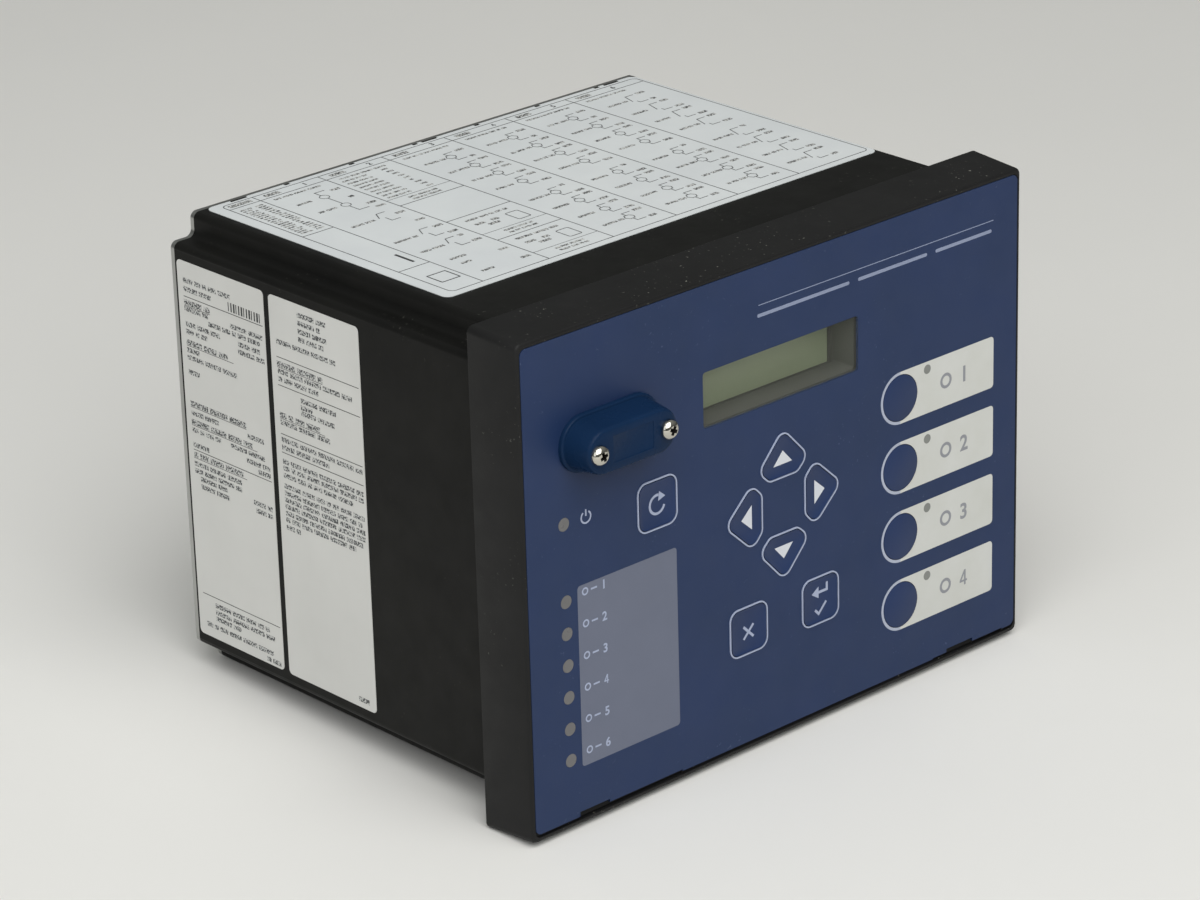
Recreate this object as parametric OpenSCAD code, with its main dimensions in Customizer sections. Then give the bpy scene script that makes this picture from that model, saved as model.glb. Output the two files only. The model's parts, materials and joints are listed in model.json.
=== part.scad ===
// Panel-mounted protection relay.
// The origin is the centre of the panel cut-out, on the panel's front plane.
// X runs to the right of somebody who faces the front, Y runs to the back, Z runs up.

/* [Front bezel] */
// Width of the front bezel
bezel_w = 192; // [190:0.5:200]
// Height of the front bezel
bezel_h = 144; // [143:0.5:150]
// Depth of the bezel ahead of the panel
bezel_t = 18; // [17.5:0.5:20]
// Radius of the bezel's four corners
bezel_r = 2; // [1:0.5:4]
// How far each side of the bezel spreads from the front to the back
bezel_draft = 1; // [0.5:0.1:1.2]

/* [Housing] */
// Length of the housing behind the panel
body_d = 131.2; // [131.2:0.2:150]
// Width of the housing
body_w = 183.2; // [182.8:0.2:184]
// Height of the housing
body_h = 138; // [137.6:0.2:138.6]
// Wall of the housing
body_wall = 2; // [1.6:0.1:2.2]
// Width of the grooves along the housing's left corners
left_groove_w = 7.5; // [7:0.25:8]
// Width of the grooves along the housing's right corners, where the top reaches further
right_groove_w = 4.7; // [4.7:0.1:6]
// Height of the groove along each corner of the housing
groove_h = 7; // [6.5:0.25:7.5]
// Thickness of the rear panel
rear_t = 1.5; // [1:0.1:2]

/* [Keys] */
// Side of a square key's printed frame
key_w = 14.8; // [13:0.2:16]
// Reach of an arrow key's tip from the middle of the four
arrow_reach = 21.5; // [20.5:0.25:22.5]
// Radius of a round push button's hole
button_r = 7; // [6:0.1:7.4]
// Distance between the round push buttons
button_pitch = 21.24; // [19:0.02:21.4]
// How far a key can be pressed
key_travel = 0.4; // [0.2:0.05:0.4]

/* [Lamps and display] */
// Diameter of a status lamp
lamp_d = 3.8; // [2.4:0.1:4]
// Distance between the six status lamps
lamp_pitch = 9.36; // [8:0.02:9.4]
// Diameter of a push button's lamp
button_lamp_d = 3; // [2:0.1:3.4]
// Width of the display window
window_w = 59.6; // [50:0.2:61]
// Height of the display window
window_h = 16.3; // [14:0.1:17]
// Depth of the display glass behind the front
glass_depth = 10.5; // [10:0.1:10.8]

/* [Cards] */
// Distance between two cards
card_pitch = 24.1; // [23:0.1:24.2]
// Thickness of a circuit board
board_t = 1.6; // [1.2:0.1:1.8]

/* [Hidden] */
$fn = 48;

// Levels along Y, from the front to the back
face_y = -bezel_t;
film_t = 0.8;
film_back_y = face_y + film_t;
wall_back_y = face_y + 3.5;
board_front_y = face_y + 9;
board_back_y = board_front_y + board_t;
glass_y = face_y + glass_depth;
sleeve_y = -3;
backplane_y = 12;
rear_y = body_d;
rear_out_y = body_d + rear_t;

// Overlay film and the recess that it lies in
rim_w = 1.3;
film_gap = 0.2;
film_w = bezel_w - 2 * rim_w;
film_top = bezel_h / 2 - 1.7;
film_bottom = -bezel_h / 2 + 2.3;
film_r = 2;
slit_h = 1;

// Fits
arc_lap = 0.002;
key_gap = 0.2;
slide_gap = 0.15;
frame_line = 0.55;
flange_w = 1;
screw_r = 1.45;
bore_r = 1.5;
head_r = 2.8;

// Keys: middle of the arrow keys and centres of the square keys, as [x, z]
arrow_centre = [0, -2.1];
arrow_r = 3.2;
escape_at = [-14.1, -35.4];
enter_at = [14.1, -35.4];
reset_at = [-47.6, 13];
key_r = 3.3;
button_at = [46.7, 15.95];
stem_end_y = wall_back_y + 2.5;

// Lamps and label cards
lamp_at = [-81.3, -5];
enabled_z = 17.4;
button_lamp_at = [57.7, 21.5];
lamp_card_x = [-78.6, -40.1];
lamp_card_top = -1.1;
button_card_x = [60.3, 89.7];
button_card_top = 24.4;
card_pocket_t = 0.6;
finger_w = 11;

// Display
window_at = [0, 37.3];
window_r = 1;
frame_size = [71.2, 25.2];
display_board_size = [80, 36];
standoff_at = [37.5, 15.5];

// Serial port behind its cover
port_at = [-64.7, 38.9];
port_screw_x = 12.5;
cover_h = 10;
cover_flange = [35.4, 16.4, 8];

// Screw ports along the inside of the housing, and bosses of the front board
port_x = body_w / 2 - 4.2;
port_z = [-50, 0, 50];
bezel_boss_r = 4;
board_boss_at = [[-78, -58], [0, -58], [78, -58], [-78, 58], [0, 58], [78, 58]];

// Middles of the long slots in the housing's rear edge
tab_x = [-68.3, 3, 75.7];

// Cards, from the left, and their terminals
first_card_x = -52.9;
card_x = [for (i = [0 : 5]) first_card_x + i * card_pitch];
card_end_y = body_d - 3.2;
card_half_h = 64.8;
guide_t = 5;
groove_d = 3.1;
plug_cards = [0, 2, 3, 4, 5];
pole_count = 10;
pole_pitch = 7.62;
plug_h = pole_count * pole_pitch + 2;
header_w = 12;
header_in_y = body_d - 14;
header_out_y = rear_out_y + 1;
plug_out_y = header_out_y + 12;
network_z = [42, 20];
serial_x = 7;
rear_serial_x = card_x[1] + board_t / 2 + serial_x;
rear_serial_z = -18;
ground_at = [-74, -50];
ground_tip_y = rear_out_y + 4.5;

// Position of each pole along a terminal block, and thickness of the paper labels
pole_z = [for (k = [0 : pole_count - 1]) (k - (pole_count - 1) / 2) * pole_pitch];
label_t = 0.15;

// Basic shapes, drawn as x and z and extruded along Y

// A plate between two levels, seen from the front
module slab(y0, y1) {
  translate([0, y1, 0]) rotate([90, 0, 0]) linear_extrude(y1 - y0) children();
}

// Direction that points out of the edge from a to b, corners counter-clockwise
function edge_normal(a, b) = [b.y - a.y, a.x - b.x] / norm(b - a);

// Convex polygon with round corners: c holds the centres of the corner arcs, which stand
// a hair over the edges that they join
module rounded_polygon(c, r) {
  n = len(c);
  polygon([for (i = [0 : n - 1]) let (a = c[i], b = c[(i + 1) % n]) each
    [a + r * edge_normal(a, b), b + r * edge_normal(a, b)]]);
  for (p = c) translate(p) circle(r + arc_lap);
}

module rounded_rect(w, h, r) {
  u = w / 2 - r;
  v = h / 2 - r;
  rounded_polygon([[-u, -v], [u, -v], [u, v], [-u, v]], r);
}

// Box between two corners
module block(low, high) {
  translate(low) cube(high - low);
}

// Section of the housing, moved inwards by inset, with a groove along each corner
module housing_section(inset = 0) {
  left = body_w / 2 - left_groove_w - inset;
  right = body_w / 2 - right_groove_w - inset;
  nz = body_h / 2 - groove_h - inset;
  outer_r = max(2 - inset, 0.4);
  inner_r = 2.2 + inset;
  rounded_rect(body_w - 2 * inset, 2 * nz, outer_r);
  translate([(right - left) / 2, 0]) rounded_rect(left + right, body_h - 2 * inset, outer_r);
  for (side = [[-1, left], [1, right]], sz = [-1, 1])
    scale_corner(side[0], sz) translate([side[1], nz]) difference() {
      square(inner_r);
      translate([inner_r, inner_r]) circle(inner_r);
    }
}

// Repeats a corner shape in another quarter
module scale_corner(sx, sz) {
  mirror([sx < 0 ? 1 : 0, 0]) mirror([0, sz < 0 ? 1 : 0]) children();
}

// Frames, holes and caps of the keys share these outlines, moved inwards by inset
module square_key_shape(inset) {
  rounded_rect(key_w - 2 * inset, key_w - 2 * inset, key_r - inset);
}

module arrow_key_shape(inset) {
  tip = arrow_reach - arrow_r;
  c = [[-4.3, tip - 7], [4.3, tip - 7], [5.5, tip - 5.9], [0, tip], [-5.5, tip - 5.9]];
  rounded_polygon(c, arrow_r - inset);
}

module button_shape(inset) {
  circle(button_r + frame_line - inset);
}

// Places a key's shape on the front: turn is the arrow's direction, anticlockwise from up
module at_arrow(turn) {
  translate(arrow_centre) rotate(turn) children();
}

module at_button(i) {
  translate([button_at.x, button_at.y - i * button_pitch]) children();
}

// All key openings at once, moved inwards by inset
module key_openings(inset) {
  for (turn = [0, 90, 180, 270]) at_arrow(turn) arrow_key_shape(inset);
  for (p = [escape_at, enter_at, reset_at]) translate(p) square_key_shape(inset);
  for (i = [0 : 3]) at_button(i) button_shape(inset);
}

// All lamp openings, widened by gap
module lamp_openings(gap) {
  translate([lamp_at.x, enabled_z]) circle(lamp_d / 2 + gap);
  for (i = [0 : 5]) translate([lamp_at.x, lamp_at.y - i * lamp_pitch]) circle(lamp_d / 2 + gap);
  for (i = [0 : 3]) translate([button_lamp_at.x, button_lamp_at.y - i * button_pitch])
    circle(button_lamp_d / 2 + gap);
}

// A key: embossed cap, flange behind the wall and stem over its switch.
// The first child is the cap's outline, the second the flange's outline.
module key_body() {
  emboss = 0.15;
  flange_y = wall_back_y + 0.1;
  slab(face_y - emboss, flange_y) children(0);
  slab(flange_y, flange_y + flange_w) children(1);
}

module key_stem() {
  slab(wall_back_y + 1, stem_end_y) circle(2);
}

// Pan-head screw along Y: head at y, shaft of length l towards direction s
module screw(y, l, s) {
  cap_h = 2.2;
  ball_r = 4;
  shaft_y = min(y, y + s * l);
  translate([0, shaft_y + l, 0]) rotate([90, 0, 0]) cylinder(h = l, r = screw_r);
  translate([0, y, 0]) rotate([s * 90, 0, 0]) difference() {
    intersection() {
      cylinder(h = cap_h, r = head_r);
      translate([0, 0, cap_h - ball_r]) sphere(ball_r, $fn = 64);
    }
    for (a = [0, 90]) rotate(a) translate([-1.6, -0.35, cap_h - 1.3]) cube([3.2, 0.7, 2]);
  }
}

// Outline of a nine-pin connector's shell, w wide at its wider side
module d_outline(w, h, r) {
  narrow = w / 2 - 0.8;
  rounded_polygon([[-narrow + r, -h / 2 + r], [narrow - r, -h / 2 + r],
    [w / 2 - r, h / 2 - r], [-w / 2 + r, h / 2 - r]], r);
}

// Nine-way female connector that faces -Y, with its flange's front at y = 0
module d_connector(body_l) {
  shell_l = 5.8;
  contact_pitch = 2.77;
  contact_rows = [[5, 1.42], [4, -1.42]];
  difference() {
    union() {
      slab(0, 0.8) rounded_rect(30.8, 12.5, 1.5);
      slab(-shell_l, 0.8) d_outline(17.6, 9.2, 2.2);
      slab(0.8, body_l) square([19, 10.4], center = true);
    }
    for (s = [-1, 1]) translate([s * port_screw_x, 0, 0]) slab(-1, 2) circle(1.6);
    for (row = contact_rows, i = [0 : row[0] - 1])
      translate([(i - (row[0] - 1) / 2) * contact_pitch, 0, row[1]])
        slab(-shell_l - 1, -0.5) circle(0.6, $fn = 16);
  }
}

// Housing: one extruded black sleeve with screw ports inside
module chassis_sleeve() {
  color([0.14, 0.14, 0.14]) difference() {
    slab(sleeve_y, rear_y) difference() {
      union() {
        difference() {
          housing_section(0);
          housing_section(body_wall);
        }
        for (s = [-1, 1], z = port_z) translate([s * port_x, z]) intersection() {
          circle(2.8);
          translate([-s * 4.9, 0]) square([18, 6], center = true);
        }
      }
      for (s = [-1, 1], z = port_z) translate([s * port_x, z]) circle(bore_r);
    }
    rear_slots(1);
    rear_slots(-1);
  }
}

// Slots in the housing's rear edge: short ones by the cards, long ones for the rear panel's tabs
module rear_slots(side) {
  depth = 1.2;
  for (x = card_x) rear_slot(x + 2.2, 2, depth, side);
  for (x = tab_x) rear_slot(x, 6, depth, side);
}

module rear_slot(x, w, depth, side) {
  translate([x - w / 2, rear_y - depth, side * body_h / 2 - 2.5]) cube([w, depth + 1, 5]);
}

// Bezel: moulded frame whose front wall carries film, keys, lamps and window
module front_bezel() {
  color([0.16, 0.16, 0.16]) difference() {
    union() {
      difference() {
        bezel_block();
        slab(wall_back_y, 1) housing_section(1.2);
      }
      slab(wall_back_y, glass_y - 0.5) window_tube(1.2);
      for (p = board_boss_at) translate([p.x, 0, p.y]) slab(wall_back_y, board_front_y) circle(3);
      for (s = [-1, 1], z = port_z) translate([s * port_x, 0, z])
        slab(wall_back_y, sleeve_y) circle(bezel_boss_r);
    }
    slab(face_y - 1, film_back_y) film_recess();
    slab(sleeve_y, 1) housing_section(-slide_gap);
    bezel_wall_openings();
    label_pockets();
    bezel_screw_holes();
    slab(-1, 1) gasket_section();
  }
}

// Outer shape of the bezel: a moulding whose sides spread towards its back
module bezel_block() {
  intersection() {
    slab(face_y, 0) square([bezel_w + 10, bezel_h + 10], center = true);
    hull() for (y = [face_y - 1, 1]) slab(y, y + 0.01) bezel_outline(y);
  }
}

module bezel_outline(y) {
  spread = 2 * bezel_draft * (y - face_y) / bezel_t;
  rounded_rect(bezel_w + spread, bezel_h + spread, bezel_r);
}

module window_tube(wall) {
  translate(window_at) rounded_rect(window_w + 2 * wall, window_h + 2 * wall, window_r + wall);
}

module film_recess() {
  top = film_top + film_gap;
  bottom = film_bottom - slit_h;
  translate([0, (top + bottom) / 2]) rounded_rect(film_w + 2 * film_gap, top - bottom, film_r);
}

module bezel_wall_openings() {
  slab(face_y - 1, wall_back_y + 1) key_openings(frame_line);
  slab(face_y - 1, wall_back_y + 1) lamp_openings(0.05);
  slab(face_y - 1, 0) window_tube(0);
  slab(face_y - 1, film_back_y + 1) window_tube(1);
  translate([port_at.x, 0, port_at.y]) {
    slab(face_y - 1, wall_back_y + 1) d_outline(18.2, 9.8, 2.4);
    for (s = [-1, 1]) translate([s * port_screw_x, 0, 0]) slab(face_y - 1, wall_back_y + 1) circle(3);
  }
}

// Pockets that the two label cards slide up into, under the film
module label_pockets() {
  bottom = film_bottom - slit_h;
  floor_y = film_back_y + card_pocket_t;
  block([lamp_card_x[0] - 0.3, face_y - 1, bottom], [lamp_card_x[1] + 0.3, floor_y, lamp_card_top + 0.3]);
  block([button_card_x[0] - 0.3, face_y - 1, bottom],
    [button_card_x[1] + 0.3, floor_y, button_card_top + 0.3]);
}

module bezel_screw_holes() {
  for (s = [-1, 1], z = port_z) translate([s * port_x, 0, z]) {
    slab(face_y - 1, wall_back_y + 0.3) circle(head_r + 0.2);
    slab(face_y - 1, 1) circle(bore_r + 0.2);
  }
  for (p = board_boss_at) translate([p.x, 0, p.y]) slab(wall_back_y + 0.5, 1) circle(bore_r);
}

// Ring that the gasket fills, in the bezel's back
module gasket_section() {
  outer = [bezel_w - 3.2, bezel_h - 1.6];
  band = 1.3;
  difference() {
    rounded_rect(outer.x, outer.y, 2.4);
    rounded_rect(outer.x - 2 * band, outer.y - 2 * band, 1.2);
  }
}

module panel_gasket() {
  color([0.1, 0.1, 0.1]) slab(-1, 0.2) gasket_section();
}

// Screws under the film that hold the bezel on the housing's screw ports
module bezel_screws() {
  color("silver") for (s = [-1, 1], z = port_z) translate([s * port_x, 0, z])
    screw(wall_back_y + 0.3, 22, 1);
}

// Overlay film with its openings, cut back along the lower edge for the label cards
module front_overlay() {
  color([0.196, 0.25, 0.376]) difference() {
    slab(face_y, film_back_y) translate([0, (film_top + film_bottom) / 2])
      rounded_rect(film_w, film_top - film_bottom, film_r);
    slab(face_y - 1, film_back_y + 1) key_openings(frame_line);
    slab(face_y - 1, film_back_y + 1) lamp_openings(0.05);
    slab(face_y - 1, film_back_y + 1) window_tube(0);
    translate([port_at.x, 0, port_at.y]) slab(face_y - 1, film_back_y + 1) rounded_rect(31.4, 12, 4);
    film_notch(lamp_card_x[0], lamp_card_x[1], 0.5);
    film_notch(lamp_card_x[0], lamp_card_x[0] + finger_w, 1.4);
    film_notch(button_card_x[0], button_card_x[1], 0.3);
    film_notch(button_card_x[0] + 5.7, button_card_x[0] + 5.7 + finger_w, 1.4);
  }
}

module film_notch(x0, x1, h) {
  block([x0, face_y - 1, film_bottom - 1], [x1, film_back_y + 1, film_bottom + h]);
}

// Clear window, held by its flange between the film and the bezel
module display_window() {
  color([0.75, 0.8, 0.75, 0.4]) {
    slab(face_y, film_back_y) window_tube(-0.1);
    slab(film_back_y, film_back_y + 1) window_tube(0.8);
  }
}

module display_glass() {
  color([0.43, 0.48, 0.37]) translate([window_at.x, 0, window_at.y])
    slab(glass_y, glass_y + 2) square([66, 18], center = true);
}

// Metal frame that clamps the glass on its board
module display_frame() {
  lip = 0.4;
  color([0.2, 0.2, 0.2]) translate([window_at.x, 0, window_at.y]) difference() {
    slab(glass_y - lip, 0) square(frame_size, center = true);
    slab(glass_y, 1) square(frame_size - [1.2, 1.2], center = true);
    slab(glass_y - 1, 1) square([56.4, 15.6], center = true);
  }
}

module display_board() {
  color("darkgreen") translate([window_at.x, 0, window_at.y]) {
    slab(0, board_t) square(display_board_size, center = true);
    slab(glass_y + 2, 0) square([62, 14], center = true);
  }
}

module display_standoffs() {
  color("gold") for (sx = [-1, 1], sz = [-1, 1])
    translate([window_at.x + sx * standoff_at.x, 0, window_at.y + sz * standoff_at.y])
      slab(board_back_y, 0) circle(2.4);
}

// One arrow key, its arrow turned by the given angle
module arrow_key(turn) {
  color([0.2, 0.25, 0.38]) {
    key_body() {
      at_arrow(turn) arrow_key_shape(frame_line + key_gap);
      at_arrow(turn) arrow_key_shape(frame_line - flange_w);
    }
    translate([arrow_centre.x, 0, arrow_centre.y]) rotate([0, -turn, 0])
      translate([0, 0, arrow_reach - 9.3]) key_stem();
  }
}

module key_up() {
  arrow_key(0);
}

module key_left() {
  arrow_key(90);
}

module key_down() {
  arrow_key(180);
}

module key_right() {
  arrow_key(270);
}

module square_key(p) {
  color([0.2, 0.25, 0.38]) translate([p.x, 0, p.y]) {
    key_body() {
      square_key_shape(frame_line + key_gap);
      square_key_shape(frame_line - flange_w);
    }
    key_stem();
  }
}

module key_escape() {
  square_key(escape_at);
}

module key_enter() {
  square_key(enter_at);
}

module key_reset() {
  square_key(reset_at);
}

module push_button(i) {
  color([0.2, 0.25, 0.38]) translate([button_at.x, 0, button_at.y - i * button_pitch]) {
    key_body() {
      button_shape(frame_line + key_gap);
      button_shape(frame_line - flange_w);
    }
    key_stem();
  }
}

// Tactile switches on the front board, one under each stem
module key_switches() {
  color([0.1, 0.1, 0.1]) {
    for (turn = [0 : 90 : 270]) translate([arrow_centre.x, 0, arrow_centre.y]) rotate([0, -turn, 0])
      translate([0, 0, arrow_reach - 9.3]) tactile_switch();
    for (p = [escape_at, enter_at, reset_at]) translate([p.x, 0, p.y]) tactile_switch();
    for (i = [0 : 3]) translate([button_at.x, 0, button_at.y - i * button_pitch]) tactile_switch();
  }
}

module tactile_switch() {
  base_y = board_front_y - 2;
  slab(base_y, board_front_y) square([6, 6], center = true);
  slab(stem_end_y + key_travel + 0.1, base_y) circle(1.7);
}

// Light pipes: clear pegs from the film to the lamps, joined by a rail
module status_light_pipe() {
  lowest = lamp_at.y - 5 * lamp_pitch;
  color([0.6, 0.57, 0.53]) {
    light_peg([lamp_at.x, enabled_z], lamp_d / 2);
    for (i = [0 : 5]) light_peg([lamp_at.x, lamp_at.y - i * lamp_pitch], lamp_d / 2);
    block([lamp_at.x - 1.3, wall_back_y, lowest - 2], [lamp_at.x + 1.3, wall_back_y + 1.5, enabled_z + 2]);
  }
}

module button_light_pipe() {
  lowest = button_lamp_at.y - 3 * button_pitch;
  color([0.6, 0.57, 0.53]) {
    for (i = [0 : 3]) light_peg([button_lamp_at.x, button_lamp_at.y - i * button_pitch], button_lamp_d / 2);
    block([button_lamp_at.x - 1.2, wall_back_y, lowest - 2],
      [button_lamp_at.x + 1.2, wall_back_y + 1.5, button_lamp_at.y + 2]);
  }
}

module light_peg(p, r) {
  translate([p.x, 0, p.y]) slab(face_y, board_front_y - 1.4) circle(r);
}

// Slide-in cards with the user's own names for lamps and buttons
module lamp_label_card() {
  color([0.42, 0.44, 0.51]) block([lamp_card_x[0], film_back_y, film_bottom - 0.4],
    [lamp_card_x[1], film_back_y + 0.4, lamp_card_top]);
}

module button_label_card() {
  color([0.78, 0.79, 0.76]) block([button_card_x[0], film_back_y, film_bottom - 0.4],
    [button_card_x[1], film_back_y + 0.4, button_card_top]);
}

// Cover over the serial port: a flanged hollow cap with a soft front edge
module port_cover() {
  top_y = face_y - cover_h;
  color([0.08, 0.19, 0.35]) translate([port_at.x, 0, port_at.y]) difference() {
    union() {
      slab(face_y - 1.4, face_y) rounded_rect(cover_flange.x, cover_flange.y, cover_flange.z);
      hull() {
        slab(face_y - 1.5, face_y - 1.4) rounded_rect(33.6, 14.8, 7, $fn = 32);
        slab(top_y + 1.4, top_y + 1.5) rounded_rect(32.2, 12.4, 5.8, $fn = 32);
        slab(top_y + 0.4, top_y + 0.5) rounded_rect(31.4, 11.4, 5.2, $fn = 32);
        slab(top_y, top_y + 0.1) rounded_rect(30.2, 10.2, 4.6, $fn = 32);
      }
    }
    hull() {
      slab(face_y - 0.1, face_y + 1) rounded_rect(31.2, 12.2, 4, $fn = 32);
      slab(top_y + 1.8, top_y + 1.9) rounded_rect(29.4, 9.4, 3, $fn = 32);
    }
    slab(top_y - 1, top_y + 0.35) rounded_rect(14.5, 7.6, 0.8);
    for (s = [-1, 1]) translate([s * port_screw_x, 0, 0]) slab(top_y - 1, face_y) circle(bore_r + 0.1);
  }
}

module port_cover_screws() {
  color("silver") for (s = [-1, 1]) translate([port_at.x + s * port_screw_x, 0, port_at.y])
    screw(face_y - cover_h, 11.5, 1);
}

module serial_connector() {
  color([0.6, 0.6, 0.62]) translate([port_at.x, wall_back_y, port_at.y])
    d_connector(board_front_y - wall_back_y);
}

// Hexagonal jack standoffs of both serial connectors; the front pair takes the cover's screws
module serial_standoffs() {
  color([0.7, 0.7, 0.72]) for (s = [-1, 1]) {
    translate([port_at.x + s * port_screw_x, wall_back_y, port_at.y]) jack_standoff(6.5, 2);
    translate([rear_serial_x, rear_out_y, rear_serial_z + s * port_screw_x]) rotate([0, 0, 180])
      jack_standoff(5, rear_t + 2);
  }
}

module jack_standoff(hex_l, stud_l) {
  difference() {
    union() {
      slab(-hex_l, 0) circle(2.7, $fn = 6);
      slab(0, stud_l) circle(bore_r);
    }
    slab(-hex_l - 1, -1) circle(bore_r);
  }
}

// Front circuit board, cut out for the display, with the lamps' chips on it
module front_board() {
  color("darkgreen") {
    slab(board_front_y, board_back_y) difference() {
      union() {
        square([173, 118], center = true);
        square([162, 128], center = true);
      }
      translate(window_at) square(frame_size + [1.6, 1.6], center = true);
      for (p = board_boss_at) translate(p) circle(bore_r + 0.1);
      for (s = [-1, 1], z = port_z) translate([s * port_x, z]) circle(bezel_boss_r + 0.4);
    }
    for (z = concat([enabled_z], [for (i = [0 : 5]) lamp_at.y - i * lamp_pitch]))
      translate([lamp_at.x, 0, z]) lamp_chip();
    for (i = [0 : 3]) translate([button_lamp_at.x, 0, button_lamp_at.y - i * button_pitch]) lamp_chip();
    block([20, board_back_y, -50], [34, board_back_y + 1.4, -36]);
    block([-40, board_back_y, -44], [-30, board_back_y + 1.2, -28]);
  }
}

module lamp_chip() {
  slab(board_front_y - 1.2, board_front_y) square([2.4, 2], center = true);
}

module front_board_screws() {
  color("silver") for (p = board_boss_at) translate([p.x, 0, p.y])
    screw(board_back_y, 5.5, -1);
}

module interboard_connector() {
  color([0.12, 0.12, 0.12]) translate([0, 0, -20]) {
    slab(board_back_y, backplane_y - 8) square([56, 7], center = true);
    slab(backplane_y - 8, backplane_y) square([58, 9], center = true);
  }
}

// Backplane with one card socket for each card
module backplane_board() {
  color("darkgreen") {
    block([-78, backplane_y, -card_half_h], [82, backplane_y + board_t, card_half_h]);
    for (x = card_x) difference() {
      block([x - 4, backplane_y + board_t, -46], [x + 4, backplane_y + 9.5, 46]);
      block([x - board_t / 2 - 0.1, backplane_y + 4, -44], [x + board_t / 2 + 0.1, backplane_y + 10, 44]);
    }
  }
}

// Grooved plate that carries the edges of all cards, drawn for the top
module card_guide() {
  top = body_h / 2 - body_wall;
  edge = top - guide_t;
  color([0.85, 0.85, 0.82]) difference() {
    block([-79, backplane_y - 2, edge], [81, card_end_y, top]);
    for (x = card_x) block([x - board_t / 2 - slide_gap, backplane_y - 3, edge - 1],
      [x + board_t / 2 + slide_gap, card_end_y + 1, edge + groove_d]);
    block([-79, backplane_y - 0.05, edge - 1], [83, backplane_y + board_t + 0.05, edge + groove_d]);
    for (i = [0 : 4], y = [32, 62, 92]) translate([card_x[i] + card_pitch / 2, y, edge - 1])
      translate([-7, 0, 0]) cube([14, 22, guide_t + 2]);
  }
}

module upper_card_guide() {
  card_guide();
}

module lower_card_guide() {
  mirror([0, 0, 1]) card_guide();
}

// Bare card: a board along the guides with a tongue for the backplane's socket
module card_board(i) {
  x0 = card_x[i] - board_t / 2;
  x1 = card_x[i] + board_t / 2;
  block([x0, backplane_y + 10, -card_half_h], [x1, card_end_y, card_half_h]);
  block([x0, backplane_y + 5, -43], [x1, backplane_y + 11, 43]);
}

// Open header at the back of a card, which a terminal plug goes into
module terminal_header(i) {
  x0 = card_x[i] + board_t / 2;
  half = plug_h / 2;
  difference() {
    block([x0, header_in_y, -half - 1.5], [x0 + header_w, header_out_y, half + 1.5]);
    block([x0 + 1.5, header_in_y + 3, -half], [x0 + header_w - 1.5, header_out_y + 1, half]);
  }
}

// Blocks on a card's right side: y and z of each centre, size as [x, y, z]
module card_parts(i, places, size) {
  x0 = card_x[i] + board_t / 2;
  for (p = places) translate([x0, p.x - size.y / 2, p.y - size.z / 2]) cube(size);
}

module power_supply_card() {
  color("green") {
    card_board(0);
    terminal_header(0);
    card_parts(0, [[58, -12], [58, -40]], [4, 26, 16]);
  }
}

module processor_card() {
  color("green") {
    card_board(1);
    card_parts(1, [[62, 0]], [3, 28, 28]);
    card_parts(1, [[62, 34], [62, -34], [92, -34]], [1.4, 12, 18]);
  }
}

module input_card() {
  color("green") {
    card_board(2);
    terminal_header(2);
    card_parts(2, [for (k = [0 : 7]) [96, -38.5 + 11 * k]], [3.6, 9, 6.4]);
  }
}

module analogue_card() {
  color("green") {
    card_board(3);
    terminal_header(3);
    card_parts(3, [for (k = [0 : 3]) [92, -33 + 22 * k]], [14, 16, 15]);
  }
}

module output_card(i) {
  color("green") {
    card_board(i);
    terminal_header(i);
    card_parts(i, [[60, 24], [60, -24]], [1.8, 14, 10]);
  }
}

module output_card_1() {
  output_card(4);
}

module output_card_2() {
  output_card(5);
}

module power_transformer() {
  x0 = card_x[0] + board_t / 2;
  color([0.75, 0.7, 0.3]) {
    block([x0, 44, 12], [x0 + 18, 76, 18]);
    block([x0, 44, 40], [x0 + 18, 76, 46]);
    block([x0 + 1, 48, 18], [x0 + 17, 72, 40]);
  }
}

module power_capacitors() {
  color([0.15, 0.15, 0.25]) for (p = [[94, -32], [94, -10], [94, 12]])
    translate([card_x[0] + board_t / 2, p.x, p.y]) rotate([0, 90, 0]) cylinder(h = 19, r = 9);
}

module output_relays() {
  color([0.2, 0.35, 0.6]) for (i = [4, 5]) card_parts(i, [for (k = [0 : 3]) [98, -36 + 24 * k]], [15, 20, 12]);
}

// Pluggable block: a row of poles, each with a screw well and a wire entry
module terminal_plug(i) {
  x0 = card_x[i] + board_t / 2;
  half = plug_h / 2;
  color([0.1, 0.35, 0.22]) difference() {
    union() {
      block([x0 + 1.7, header_in_y + 4, -half + 0.2], [x0 + header_w - 1.7, header_out_y, half - 0.2]);
      block([x0, header_out_y, -half - 1.5], [x0 + header_w + 2, plug_out_y, half + 1.5]);
    }
    for (z = pole_z) {
      translate([x0 + 4, 0, z]) slab(plug_out_y - 5, plug_out_y + 1) circle(2.3);
      block([x0 + 8.4, plug_out_y - 8, z - 1.9], [x0 + 12.4, plug_out_y + 1, z + 1.9]);
    }
  }
}

module terminal_screws() {
  color("silver") for (i = plug_cards, z = pole_z)
    translate([card_x[i] + board_t / 2 + 4, 0, z]) difference() {
      slab(plug_out_y - 5, plug_out_y - 2.5) circle(2.1);
      translate([-3, plug_out_y - 3.3, -0.35]) cube([6, 2, 0.7]);
    }
}

// Network sockets on the processor card, mouths to the back
module network_sockets() {
  x0 = card_x[1] + board_t / 2;
  color([0.65, 0.65, 0.67]) for (z = network_z) difference() {
    block([x0, rear_out_y - 20, z - 8], [x0 + 13.4, rear_out_y + 1.5, z + 8]);
    block([x0 + 2.6, rear_out_y - 11, z - 5.9], [x0 + 10.6, rear_out_y + 2, z + 5.9]);
    block([x0 + 10, rear_out_y - 11, z - 2], [x0 + 12, rear_out_y + 2, z + 2]);
  }
}

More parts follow.
